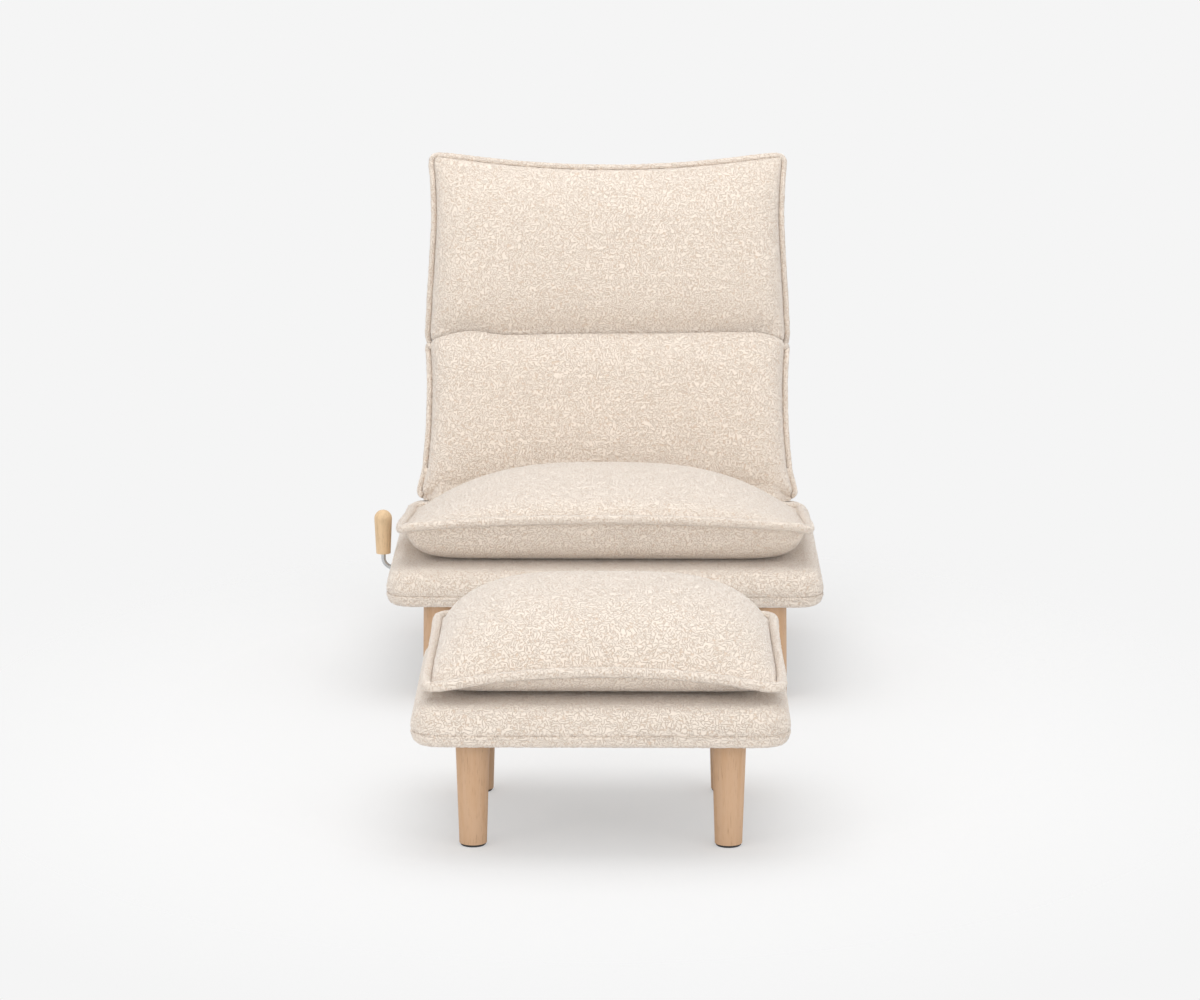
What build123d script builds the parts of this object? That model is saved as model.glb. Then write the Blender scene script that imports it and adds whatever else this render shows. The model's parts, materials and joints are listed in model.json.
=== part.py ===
from build123d import *
import math
import os

# A reclining lounge chair and its ottoman, in millimetres.
# X runs across the chair, Y from its front to its back, and Z up from the floor.
# Pieces are worked out from the middle of the chair pad's front edge.
# At the end the whole set moves to the middle of its own footprint on the floor.

# Heights that the chair and the ottoman share
pad_underside = 175.0
pad_height = 65.0
pad_corner_radius = 46.0
pad_top_radius = 28.0
pad_bottom_radius = 14.0

# Chair pad and the wooden frame in it
chair_pad_width = 770.0
chair_pad_depth = 655.0
chair_side_foam = 45.0
chair_front_foam = 30.0
chair_rear_foam = 30.0
rail_thickness = 24.0
rail_height = 42.0
block_length = 50.0
dust_cover_thickness = 1.5

# Ottoman pad and its frame
ottoman_lead = 947.0
ottoman_pad_width = 585.0
ottoman_pad_depth = 480.0
ottoman_foam = 30.0
ottoman_deck_thickness = 4.0

# Webbing, sewn from one strap
strap_width = 50.0
strap_thickness = 1.5

# Legs and what fastens them
leg_top_radius = 27.0
leg_foot_radius = 21.5
chair_leg_edge_inset = 90.0
chair_leg_front_inset = 70.0
chair_leg_rear_inset = 65.0
chair_leg_splay_angle = 2.5
ottoman_leg_edge_inset = 93.0
ottoman_leg_end_inset = 82.5
glide_height = 4.0
glide_inset = 1.5
plate_size = 70.0
plate_thickness = 3.0
plate_corner_radius = 8.0
bolt_radius = 4.0
bolt_reach = 30.0
bolt_gap = 0.2

# Back hinge and the leaning back
hinge_inset = 15.0
back_lean_angle = 20.0
back_length = 275.0
back_end_radius = 50.0
back_side_inset = 30.0
back_front_depth = 65.0
back_rear_depth = 46.0
trough_drop = 30.0
hinge_plate_thickness = 4.0
hinge_disc_radius = 32.0
hinge_neck_width = 32.0
hinge_foot_length = 82.0
hinge_foot_margin = 3.5
recliner_half_thickness = 4.6
recliner_outer_radius = 35.0
recliner_inner_radius = 31.0
recliner_lobe_radius = 3.0
recliner_lobe_count = 6

# Headrest
head_lean_angle = 10.0
head_length = 340.0
head_middle_dip = 28.0
head_end_radius = 50.0
head_side_inset = 35.0
head_front_depth = 69.0
head_rear_depth = 43.0
head_overhang = 4.0
ratchet_thickness = 3.5
ratchet_wheel_radius = 22.0
ratchet_tooth_depth = 2.2
ratchet_tooth_count = 18
ratchet_arm_width = 22.0
ratchet_arm_length = 95.0
ratchet_pin_radius = 4.0
ratchet_head_radius = 8.0
ratchet_head_height = 2.0

# Steel tube in the back and the headrest
tube_radius = 9.5
tube_wall = 1.5
tube_bend_radius = 40.0
tube_depth = 14.0
back_tube_start = 38.0
head_tube_start = 34.0

# Rear panels and the pocket behind each back cushion
pocket_side_room = 16.0
back_pocket_margin = 36.0
head_pocket_margin = 50.0
panel_thickness = 6.0
panel_recess = 2.0

# Release lever, its crank, the bent link and the shaft at the hinge
lever_y = 232.0
lever_rod_radius = 4.0
lever_bend_radius = 18.0
grip_out = 17.5
grip_rise = 26.5
grip_length = 80.0
grip_top_radius = 16.0
grip_bottom_radius = 13.0
grip_hole_depth = 62.0
lever_bush_wall = 2.0
lever_bush_flange = 4.0
crank_throw = 16.0
crank_angle = 225.0
crank_thickness = 4.0
crank_hub_radius = 10.0
crank_eye_radius = 6.5
link_pin_radius = 3.0
link_thickness = 3.0
link_width = 10.0
link_eye_radius = 7.0
link_rise_run = 80.0
link_inset = 58.5
release_shaft_radius = 4.5
pin_head_radius = 5.0
pin_head_height = 1.5
spring_wire_radius = 0.9
spring_turns = 3
spring_pitch = 2.6
spring_leg = 14.0

# Clearances
soft_gap = 0.3
running_gap = 0.3
pin_gap = 0.3
swing_gap = 2.0
overrun = 10.0

# Welted cushions: flank and shoulder, each a width and a rise above or below the welt
# They are shares of the half width and of the whole rise.
welt_height = 16.0
chair_crown_shares = ((0.88, 0.36), (0.7, 0.7))
ottoman_crown_shares = ((0.9, 0.54), (0.7, 0.82))
back_crown_shares = ((0.955, 0.58), (0.84, 0.88))
belly_shares = ((0.955, 0.58), (0.84, 0.88))
rear_shares = ((0.955, 0.8), (0.84, 0.97))

# Loose cushions on their pads
chair_cushion_front_inset = 28.0
chair_cushion_rear_room = 12.0
chair_cushion_side_inset = 16.0
chair_cushion_thickness = 137.0
ottoman_cushion_front_inset = 18.0
ottoman_cushion_rear_inset = 42.0
ottoman_cushion_side_inset = 8.5
ottoman_cushion_thickness = 148.0

# Stations of each cushion: place, half width, welt, crown and belly
# They are shares of its length, its half width and its thickness or depths.
chair_cushion_shares = (
    (0.0, 0.986, 0.511, 0.686, 0.569),
    (0.058, 1.0, 0.489, 0.81, 0.234),
    (0.167, 1.0, 0.445, 0.934, -0.058),
    (0.476, 0.995, 0.321, 1.0, -0.088),
    (0.749, 0.995, 0.19, 0.847, -0.058),
    (0.931, 0.995, 0.117, 0.526, -0.029),
    (1.0, 0.981, 0.091, 0.263, 0.022),
)
ottoman_cushion_shares = (
    (0.0, 0.989, 0.176, 0.412, 0.297),
    (0.076, 1.0, 0.182, 0.642, 0.068),
    (0.219, 0.998, 0.216, 0.878, -0.054),
    (0.469, 0.989, 0.264, 1.0, -0.081),
    (0.743, 0.989, 0.284, 0.878, -0.054),
    (0.933, 0.993, 0.304, 0.574, 0.108),
    (1.0, 0.986, 0.311, 0.405, 0.277),
)
back_shares = (
    (-0.22, 1.031, 0.031, 0.708, 0.98),
    (0.0, 1.0, 0.062, 0.769, 1.0),
    (0.327, 0.975, 0.092, 0.954, 1.0),
    (0.673, 0.972, 0.123, 1.0, 1.0),
    (1.0, 0.983, 0.123, 0.862, 1.0),
)
head_shares = (
    (-0.153, 1.003, 0.058, 0.681, 1.0),
    (0.0, 1.0, 0.072, 0.87, 1.0),
    (0.147, 0.994, 0.087, 0.986, 1.0),
    (0.382, 0.977, 0.101, 1.0, 1.0),
    (0.662, 0.966, 0.101, 0.826, 1.0),
    (0.882, 0.971, 0.087, 0.435, 0.84),
    (1.024, 0.98, 0.058, 0.203, 0.25),
)

# Levels and places that follow
pad_top = pad_underside + pad_height
rail_bottom = pad_underside + dust_cover_thickness
rail_top = rail_bottom + rail_height
lever_height = (rail_bottom + rail_top) / 2
grip_bottom = lever_height + grip_rise
web_top = rail_top + 2 * strap_thickness
plate_bottom = rail_bottom - plate_thickness
frame_half_width = chair_pad_width / 2 - chair_side_foam
rail_inner = frame_half_width - rail_thickness
frame_front = chair_front_foam
frame_rear = chair_pad_depth - chair_rear_foam
ottoman_front = -ottoman_lead
ottoman_half_width = ottoman_pad_width / 2 - ottoman_foam
ottoman_frame_front = ottoman_front + ottoman_foam
ottoman_frame_rear = ottoman_front + ottoman_pad_depth - ottoman_foam
ottoman_deck_top = rail_top + ottoman_deck_thickness

hinge_y = chair_pad_depth - hinge_inset
hinge_height = pad_top + back_end_radius + swing_gap
plate_inner = rail_inner - hinge_plate_thickness
recliner_split = plate_inner - recliner_half_thickness
arm_outer = recliner_split - running_gap - recliner_half_thickness
arm_inner = arm_outer - hinge_plate_thickness
back_tube_x = arm_inner - tube_radius
ratchet_low_outer = arm_inner + ratchet_thickness
ratchet_split = ratchet_low_outer + running_gap
head_tube_x = ratchet_split - tube_radius
head_y = hinge_y + back_length * math.sin(math.radians(back_lean_angle))
head_height = hinge_height + back_length * math.cos(math.radians(back_lean_angle))
grip_x = -(chair_pad_width / 2 + grip_out)
crank_y = crank_throw * math.cos(math.radians(crank_angle))
crank_z = crank_throw * math.sin(math.radians(crank_angle))
link_bend_y = hinge_y - link_rise_run
link_outer = rail_inner - link_inset
link_inner = link_outer - link_thickness
crank_inner = link_outer + running_gap
crank_outer = crank_inner + crank_thickness
slot_inner = link_inner - swing_gap - pin_head_height
slot_outer = rail_inner + swing_gap
slot_radius = back_end_radius + 3 * swing_gap
ratchet_slot_inner = arm_inner - ratchet_head_height - swing_gap
ratchet_slot_outer = ratchet_split + ratchet_thickness + ratchet_head_height + swing_gap

pocket_half_width = ratchet_split + pocket_side_room
back_pocket_top = back_length - trough_drop - back_pocket_margin
head_pocket_top = head_length - head_middle_dip - head_pocket_margin
back_tube_top = back_pocket_top - tube_radius - swing_gap
head_tube_top = head_pocket_top - tube_radius - swing_gap
lower_ratchet_length = back_length - back_tube_top + tube_bend_radius + ratchet_arm_width / 2

back_place = Location((0, hinge_y, hinge_height), (90 - back_lean_angle, 0, 0))
head_place = Location((0, head_y, head_height), (90 - head_lean_angle, 0, 0))

footprint_left = grip_x - grip_top_radius
footprint_right = chair_pad_width / 2
footprint_rear = head_y + head_length * math.sin(math.radians(head_lean_angle)) / 2 + head_rear_depth
to_footprint = Pos(
    -(footprint_left + footprint_right) / 2,
    -(ottoman_front + footprint_rear) / 2,
    0,
)

sides = ((-1, "left"), (1, "right"))


# Small makers that every sub-part uses

def block(x0, x1, y0, y1, z0, z1):
    """A box between two corners."""
    size = Box(abs(x1 - x0), y1 - y0, z1 - z0)
    return Pos((x0 + x1) / 2, (y0 + y1) / 2, (z0 + z1) / 2) * size


def round_bar(radius, x0, x1, y, z):
    """A cylinder along X between two places."""
    bar = Rot(0, 90, 0) * Cylinder(radius, abs(x1 - x0))
    return Pos((x0 + x1) / 2, y, z) * bar


def side_plate(outline, x0, x1):
    """An outline in Y and Z given thickness from one X to another."""
    low, high = min(x0, x1), max(x0, x1)
    return extrude(Plane.YZ.offset(low) * outline, high - low)


def disc_outline(radius, y, z):
    return Pos(y, z) * Circle(radius)


def hull_outline(*shapes):
    """The band drawn tight around several flat shapes."""
    edges = [edge for shape in shapes for edge in shape.edges()]
    return make_hull(edges)


def group(pieces):
    """Several separate solids that share one node."""
    return Compound(list(pieces))


def pair(maker):
    """The same piece on both sides, one after the other."""
    return {name: maker(side) for side, name in sides}


# Cushions, lying down with Y along them and Z towards the sitter

def cushion_outline(place, half, welt, crown, belly, upper_shares, lower_shares):
    """One closed outline across a cushion, with a welt at each end."""
    welt_top = welt + welt_height / 2
    welt_low = welt - welt_height / 2

    def flank_and_shoulder(shares, edge, limit):
        return [(width * half, edge + rise * (limit - edge)) for width, rise in shares]

    upper_flank, upper_shoulder = flank_and_shoulder(upper_shares, welt_top, crown)
    lower_flank, lower_shoulder = flank_and_shoulder(lower_shares, welt_low, belly)

    def corner(side, edge, flank, shoulder):
        return Edge.make_three_point_arc(
            Vector(side * half, place, edge),
            Vector(side * flank[0], place, flank[1]),
            Vector(side * shoulder[0], place, shoulder[1]),
        )

    def across(shoulder, middle):
        return Edge.make_three_point_arc(
            Vector(shoulder[0], place, shoulder[1]),
            Vector(0, place, middle),
            Vector(-shoulder[0], place, shoulder[1]),
        )

    def welt_line(side):
        return Edge.make_line(Vector(side * half, place, welt_low), Vector(side * half, place, welt_top))

    return Wire([
        welt_line(1),
        corner(1, welt_top, upper_flank, upper_shoulder),
        across(upper_shoulder, crown),
        corner(-1, welt_top, upper_flank, upper_shoulder),
        welt_line(-1),
        corner(-1, welt_low, lower_flank, lower_shoulder),
        across(lower_shoulder, belly),
        corner(1, welt_low, lower_flank, lower_shoulder),
    ])


def cushion(shares, length, half, front, rear, upper_shares, lower_shares):
    """A cushion lofted through its stations, from where its own length begins."""
    outlines = []
    for place, width, welt, crown, belly in shares:
        outlines.append(cushion_outline(
            place * length, width * half, welt * front, crown * front, belly * rear,
            upper_shares, lower_shares,
        ))
    return Solid.make_loft(outlines)


def resting_cushion(shares, start, length, half, thickness, upper_shares):
    """A loose cushion, flat where it rests on its pad."""
    shape = cushion(shares, length, half, thickness, thickness, upper_shares, belly_shares)
    low, high = pad_top + soft_gap, pad_top + 2 * thickness
    keep = block(-2 * half, 2 * half, start - length, start + 2 * length, low, high)
    return Pos(0, start, pad_top) * shape & keep


def seat_cushion():
    start = chair_cushion_front_inset
    length = hinge_y - back_end_radius - chair_cushion_rear_room - start
    half = chair_pad_width / 2 - chair_cushion_side_inset
    return resting_cushion(
        chair_cushion_shares, start, length, half, chair_cushion_thickness, chair_crown_shares,
    )


def ottoman_cushion():
    start = ottoman_front + ottoman_cushion_front_inset
    length = ottoman_pad_depth - ottoman_cushion_front_inset - ottoman_cushion_rear_inset
    half = ottoman_pad_width / 2 - ottoman_cushion_side_inset
    return resting_cushion(
        ottoman_cushion_shares, start, length, half, ottoman_cushion_thickness, ottoman_crown_shares,
    )


# Upholstered pads, their frames, deck and dust covers

def padded_block(width, depth, front):
    """The soft outside of a pad, before its frame is let in."""
    plan = Pos(0, front + depth / 2, pad_underside) * RectangleRounded(width, depth, pad_corner_radius)
    shape = extrude(plan, pad_height)
    shape = fillet(shape.edges().group_by(Axis.Z)[-1], pad_top_radius)
    return fillet(shape.edges().group_by(Axis.Z)[0], pad_bottom_radius)


def seat_pad():
    shape = padded_block(chair_pad_width, chair_pad_depth, 0)
    shape -= block(
        -frame_half_width - soft_gap, frame_half_width + soft_gap,
        frame_front - soft_gap, frame_rear + soft_gap,
        pad_underside - overrun, web_top + soft_gap,
    )
    slots = ((-slot_outer, -slot_inner), (plate_inner - swing_gap, slot_outer))
    slot_floor = (rail_bottom + rail_top) / 2
    for x0, x1 in slots:
        shape -= block(x0, x1, link_bend_y, chair_pad_depth + overrun, slot_floor, pad_top + overrun)
    hole_radius = lever_rod_radius + 2 * swing_gap
    return shape - round_bar(hole_radius, -chair_pad_width, -rail_inner, lever_y, lever_height)


def ottoman_pad():
    shape = padded_block(ottoman_pad_width, ottoman_pad_depth, ottoman_front)
    return shape - block(
        -ottoman_half_width - soft_gap, ottoman_half_width + soft_gap,
        ottoman_frame_front - soft_gap, ottoman_frame_rear + soft_gap,
        pad_underside - overrun, ottoman_deck_top + soft_gap,
    )


def bolt_places(places, shape):
    """Bores a fastener's hole at each leg."""
    for x, y in places:
        shape -= Pos(x, y, rail_bottom) * Cylinder(bolt_radius + bolt_gap, 2 * (bolt_reach + overrun))
    return shape


def chair_leg_places():
    x = chair_pad_width / 2 - chair_leg_edge_inset
    front = chair_leg_front_inset
    rear = chair_pad_depth - chair_leg_rear_inset
    return ((-x, front), (x, front), (-x, rear), (x, rear))


def ottoman_leg_places():
    x = ottoman_pad_width / 2 - ottoman_leg_edge_inset
    front = ottoman_front + ottoman_leg_end_inset
    rear = ottoman_front + ottoman_pad_depth - ottoman_leg_end_inset
    return ((-x, front), (x, front), (-x, rear), (x, rear))


def seat_side_rail(side):
    """A side rail, with the lever's bearing hole on the left."""
    rail = block(
        side * rail_inner, side * frame_half_width,
        frame_front, frame_rear, rail_bottom, rail_top,
    )
    if side < 0:
        hole = lever_rod_radius + running_gap + lever_bush_wall
        rail -= round_bar(hole, -frame_half_width - overrun, -rail_inner + overrun, lever_y, lever_height)
    return rail


def seat_front_rail():
    return block(
        -rail_inner, rail_inner, frame_front, frame_front + rail_thickness, rail_bottom, rail_top,
    )


def seat_rear_rail():
    """The rear rail stands between the two hinge plates."""
    return block(
        -plate_inner, plate_inner, frame_rear - rail_thickness, frame_rear, rail_bottom, rail_top,
    )


def corner_blocks(half_widths, front, rear, places):
    """A glue block in each corner, bored for its leg's bolt."""
    front_half, rear_half = half_widths
    corners = (
        (front_half, front + rail_thickness, front + rail_thickness + block_length),
        (rear_half, rear - rail_thickness - block_length, rear - rail_thickness),
    )
    blocks = []
    for half, y0, y1 in corners:
        for side, _ in sides:
            corner = block(side * (half - block_length), side * half, y0, y1, rail_bottom, rail_top)
            blocks.append(bolt_places(places, corner))
    return group(blocks)


def dust_cover(half, front, rear, places):
    """Thin cloth under a frame, cut out around the leg plates."""
    cloth = block(-half, half, front, rear, pad_underside, rail_bottom)
    hole = plate_size + 2 * soft_gap
    for x, y in places:
        cloth -= Pos(x, y, pad_underside) * Box(hole, hole, 2 * overrun)
    return cloth


def seat_webbing():
    """Five straps front to back, and four across them with their ends folded double."""
    straps = []
    long_count, cross_count = 5, 4
    stretch = 2 * (slot_inner - swing_gap) - strap_width
    for number in range(long_count):
        x = -stretch / 2 + stretch * number / (long_count - 1)
        straps.append(block(
            x - strap_width / 2, x + strap_width / 2,
            frame_front + strap_thickness, frame_rear - strap_thickness,
            rail_top, rail_top + strap_thickness,
        ))
    reach = frame_half_width - strap_thickness
    run = frame_rear - frame_front - 2 * rail_thickness
    for number in range(cross_count):
        y = frame_front + rail_thickness + run * (number + 1) / (cross_count + 1)
        strap = block(
            -reach, reach, y - strap_width / 2, y + strap_width / 2,
            rail_top + strap_thickness, web_top,
        )
        for side, _ in sides:
            strap += block(
                side * rail_inner, side * reach, y - strap_width / 2, y + strap_width / 2,
                rail_top, rail_top + strap_thickness,
            )
        straps.append(strap)
    return group(straps)


def ottoman_long_rails():
    rails = []
    for side, _ in sides:
        rails.append(block(
            side * (ottoman_half_width - rail_thickness), side * ottoman_half_width,
            ottoman_frame_front, ottoman_frame_rear, rail_bottom, rail_top,
        ))
    return group(rails)


def ottoman_cross_rails():
    half = ottoman_half_width - rail_thickness
    rails = []
    for y0 in (ottoman_frame_front, ottoman_frame_rear - rail_thickness):
        rails.append(block(-half, half, y0, y0 + rail_thickness, rail_bottom, rail_top))
    return group(rails)


def ottoman_deck():
    return block(
        -ottoman_half_width, ottoman_half_width,
        ottoman_frame_front, ottoman_frame_rear, rail_top, ottoman_deck_top,
    )


# Turned legs with their plates, bolts and glides

def leg(x, y, lean_x, lean_y):
    """A tapered leg, leant about its top and cut level at both ends."""
    length = plate_bottom - glide_height
    taper = (leg_top_radius - leg_foot_radius) / length
    cone = Cone(
        leg_foot_radius - taper * overrun, leg_top_radius + taper * overrun, length + 2 * overrun,
        align=(Align.CENTER, Align.CENTER, Align.MAX),
    )
    shape = Pos(x, y, plate_bottom) * Rot(lean_x, lean_y, 0) * Pos(0, 0, overrun) * cone
    size = 4 * leg_top_radius
    shape &= block(x - size, x + size, y - size, y + size, glide_height, plate_bottom)
    return bolt_places([(x, y)], shape)


def foot_places(places, splay):
    """Where each leg's middle meets the floor."""
    out = (plate_bottom - glide_height) * math.tan(math.radians(splay))
    middle = sum(y for _, y in places) / len(places)
    return [
        (x + math.copysign(out, x), y + math.copysign(out, y - middle))
        for x, y in places
    ]


def legs(places, splay):
    middle = sum(y for _, y in places) / len(places)
    return [
        leg(x, y, math.copysign(splay, y - middle), -math.copysign(splay, x))
        for x, y in places
    ]


def leg_plates(places):
    plates = []
    for x, y in places:
        outline = RectangleRounded(plate_size, plate_size, plate_corner_radius)
        plate = extrude(Pos(x, y, plate_bottom) * outline, plate_thickness)
        plates.append(bolt_places([(x, y)], plate))
    return group(plates)


def leg_bolts(places):
    bolts = []
    for x, y in places:
        bolts.append(Pos(x, y, rail_bottom) * Cylinder(bolt_radius, 2 * bolt_reach))
    return group(bolts)


def glides(places):
    discs = []
    for x, y in places:
        disc = Cylinder(leg_foot_radius - glide_inset, glide_height)
        disc = chamfer(disc.edges().group_by(Axis.Z)[0], glide_inset)
        discs.append(Pos(x, y, glide_height / 2) * disc)
    return group(discs)


# Back hinge: fixed plates, disc recliners and the swinging arms

def hinge_plate(side):
    """A steel plate on the side rail that rises to the hinge."""
    low = rail_bottom + hinge_foot_margin
    high = rail_top - hinge_foot_margin
    neck_y = frame_rear - hinge_foot_margin - hinge_neck_width / 2
    foot_y = frame_rear - hinge_foot_margin - hinge_foot_length / 2
    foot = Pos(foot_y, (low + high) / 2) * Rectangle(hinge_foot_length, high - low)
    neck = Pos(neck_y, high - hinge_foot_margin) * Rectangle(hinge_neck_width, 2 * hinge_foot_margin)
    disc = disc_outline(hinge_disc_radius, hinge_y, hinge_height)
    outline = foot + hull_outline(neck, disc)
    outline -= disc_outline(release_shaft_radius + pin_gap, hinge_y, hinge_height)
    return side_plate(outline, side * plate_inner, side * rail_inner)


def lobed_disc(radius, side, x0, x1):
    """One stamped half of a disc recliner, with weld lobes round its rim."""
    outline = disc_outline(radius - recliner_lobe_radius, hinge_y, hinge_height)
    for number in range(recliner_lobe_count):
        turn = math.tau * number / recliner_lobe_count
        y = hinge_y + (radius - recliner_lobe_radius) * math.cos(turn)
        z = hinge_height + (radius - recliner_lobe_radius) * math.sin(turn)
        outline += disc_outline(recliner_lobe_radius, y, z)
    outline -= disc_outline(release_shaft_radius + pin_gap, hinge_y, hinge_height)
    return side_plate(outline, side * x0, side * x1)


def recliner_disc(side):
    return lobed_disc(recliner_outer_radius, side, recliner_split, plate_inner)


def swing_arm(side):
    """The back's own plate, with the inner half of the disc recliner welded on."""
    at_hinge = Circle(recliner_inner_radius)
    tube_end = Pos(back_tube_start + 2 * hinge_foot_length / 3, -tube_depth) * Circle(tube_radius)
    outline = hull_outline(at_hinge, tube_end) - Circle(release_shaft_radius + pin_gap)
    plate = back_place * side_plate(outline, side * arm_inner, side * arm_outer)
    disc = lobed_disc(recliner_inner_radius, side, arm_outer, recliner_split - running_gap)
    return plate + disc


# Tubes, webbing and ratchets in the two back sections, lying down like the cushions

def ring_outline():
    return Circle(tube_radius) - Circle(tube_radius - tube_wall)


def tube_bow(half, start, top, cross):
    """A bent tube up one side, across the top and down the other, with a lower cross tube."""
    path = FilletPolyline(
        (-half, start, -tube_depth), (-half, top, -tube_depth),
        (half, top, -tube_depth), (half, start, -tube_depth),
        radius=tube_bend_radius,
    )
    bow = sweep(Plane(origin=(-half, start, -tube_depth), z_dir=(0, 1, 0)) * ring_outline(), path=path)
    bar = Pos(0, cross, -tube_depth) * Rot(0, 90, 0) * extrude(ring_outline(), half, both=True)
    for side in (-1, 1):
        bore = Cylinder(tube_radius, 2 * tube_bend_radius)
        bar -= Pos(side * half, cross, -tube_depth) * Rot(90, 0, 0) * bore
    return group([bow, bar])


def back_frame():
    cross = back_tube_start + tube_radius
    return back_place * tube_bow(back_tube_x, back_tube_start, back_tube_top, cross)


def head_frame():
    cross = head_tube_start + tube_radius
    return head_place * tube_bow(head_tube_x, head_tube_start, head_tube_top, cross)


def tube_webbing(half, low, high, count):
    """Straps across a bow, wrapped over the front of its side tubes."""
    level = tube_radius - tube_depth
    straps = []
    for number in range(count):
        y = low + (high - low) * (number + 1) / (count + 1)
        straps.append(block(
            -half - tube_radius, half + tube_radius,
            y - strap_width / 2, y + strap_width / 2, level, level + strap_thickness,
        ))
    return group(straps)


def back_webbing():
    return back_place * tube_webbing(back_tube_x, back_tube_start, back_tube_top, 2)


def head_webbing():
    return head_place * tube_webbing(head_tube_x, head_tube_start, head_tube_top, 3)


def toothed_wheel():
    """A ratchet wheel with saw teeth, drawn about its own middle."""
    points = []
    for number in range(ratchet_tooth_count):
        turn = math.tau * number / ratchet_tooth_count
        foot = ratchet_wheel_radius - ratchet_tooth_depth
        points.append((foot * math.cos(turn), foot * math.sin(turn)))
        points.append((ratchet_wheel_radius * math.cos(turn), ratchet_wheel_radius * math.sin(turn)))
    return make_face(Polyline(*points, close=True))


def ratchet_outline(along):
    """A ratchet's wheel with its arm, along the tube that it is welded to."""
    foot = ratchet_arm_width / 2
    end = Pos(along, -tube_depth) * Circle(foot)
    start = Pos(0, 0) * Circle(foot)
    return hull_outline(start, end)


def lower_ratchet(side):
    outline = toothed_wheel() + ratchet_outline(-lower_ratchet_length)
    outline -= Circle(ratchet_pin_radius + pin_gap)
    flat = side_plate(outline, side * arm_inner, side * ratchet_low_outer)
    return back_place * Pos(0, back_length, 0) * flat


def upper_ratchet(side):
    outline = Circle(ratchet_wheel_radius) + ratchet_outline(ratchet_arm_length)
    outline -= Circle(ratchet_pin_radius + pin_gap)
    flat = side_plate(outline, side * ratchet_split, side * (ratchet_split + ratchet_thickness))
    return head_place * flat


def ratchet_pins():
    """A headed pin through each pair of ratchet plates."""
    pins = []
    for side, _ in sides:
        inner = arm_inner - running_gap
        outer = ratchet_split + ratchet_thickness + running_gap
        pin = round_bar(ratchet_pin_radius, side * inner, side * outer, 0, 0)
        pin += round_bar(ratchet_head_radius, side * (inner - ratchet_head_height), side * inner, 0, 0)
        pin += round_bar(ratchet_head_radius, side * outer, side * (outer + ratchet_head_height), 0, 0)
        pins.append(back_place * Pos(0, back_length, 0) * pin)
    return group(pins)


# Soft back sections, hollow behind for their frames

def rear_pocket(low, high):
    """The room behind a cushion for its frame and its rear panel."""
    front = tube_radius - tube_depth + strap_thickness + soft_gap
    return block(-pocket_half_width, pocket_half_width, low, high, -2 * back_end_radius, front)


def rear_panel(low, high, depth):
    """A stiff covered panel that closes the pocket."""
    level = -depth + panel_recess
    half = pocket_half_width - soft_gap
    return block(-half, half, low + soft_gap, high - soft_gap, level, level + panel_thickness)


def axis_bar(radius, half, place):
    """A full round about a hinge line, in the lying frame."""
    return round_bar(radius, -half, half, place, 0)


def lower_back_cushion():
    half = chair_pad_width / 2 - back_side_inset
    length = back_length - trough_drop
    shape = cushion(
        back_shares, length, half, back_front_depth, -back_rear_depth, back_crown_shares, rear_shares,
    )
    keep = axis_bar(back_end_radius, 2 * half, 0)
    keep += block(-2 * half, 2 * half, 0, 2 * length, -2 * back_rear_depth, 2 * back_front_depth)
    shape &= keep
    shape -= axis_bar(head_end_radius + swing_gap, 2 * half, back_length)
    shape -= rear_pocket(back_tube_start - tube_radius, back_pocket_top)
    reach = ratchet_arm_width / 2 + swing_gap
    for side, _ in sides:
        shape -= round_bar(slot_radius, side * slot_inner, side * slot_outer, 0, 0)
        shape -= block(
            side * ratchet_slot_inner, side * ratchet_slot_outer, 0, 2 * back_length,
            -tube_depth - reach, reach,
        )
    shape -= axis_bar(release_shaft_radius + swing_gap, slot_outer, 0)
    return back_place * shape


def head_cushion():
    half = chair_pad_width / 2 - head_side_inset
    wide, tall, deep = 2 * half, 2 * head_length, 2 * head_front_depth
    shape = cushion(
        head_shares, head_length, half, head_front_depth, -head_rear_depth,
        back_crown_shares, rear_shares,
    )
    keep = axis_bar(head_end_radius, wide, 0)
    keep += block(-wide, wide, -head_overhang, tall, 0, deep)
    keep += block(-wide, wide, 0, tall, -deep, 0)
    shape &= keep
    corner = head_shares[-1][1] * half
    sag_radius = (corner ** 2 + head_middle_dip ** 2) / (2 * head_middle_dip)
    shape -= Pos(0, head_length - head_middle_dip + sag_radius, 0) * Cylinder(sag_radius, wide)
    shape -= rear_pocket(head_tube_start - tube_radius, head_pocket_top)
    reach = ratchet_arm_width / 2 + swing_gap
    for side, _ in sides:
        x0, x1 = side * ratchet_slot_inner, side * ratchet_slot_outer
        shape -= block(x0, x1, 0, ratchet_arm_length + reach, -deep, reach)
        swing = round_bar(slot_radius, x0, x1, 0, 0)
        shape -= swing & block(x0, x1, -deep, deep, -deep, ratchet_wheel_radius + swing_gap)
    return head_place * shape


def lower_back_panel():
    return back_place * rear_panel(back_tube_start - tube_radius, back_pocket_top, back_rear_depth)


def head_panel():
    return head_place * rear_panel(head_tube_start - tube_radius, head_pocket_top, head_rear_depth)


# Release lever and what it works

def lever_rod():
    """A bent rod: along X through the rail, then up into the grip."""
    path = FilletPolyline(
        (-crank_inner, lever_y, lever_height),
        (grip_x, lever_y, lever_height),
        (grip_x, lever_y, grip_bottom + grip_hole_depth),
        radius=lever_bend_radius,
    )
    start = Plane(origin=(-crank_inner, lever_y, lever_height), z_dir=(-1, 0, 0))
    return sweep(start * Circle(lever_rod_radius), path=path)


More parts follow.
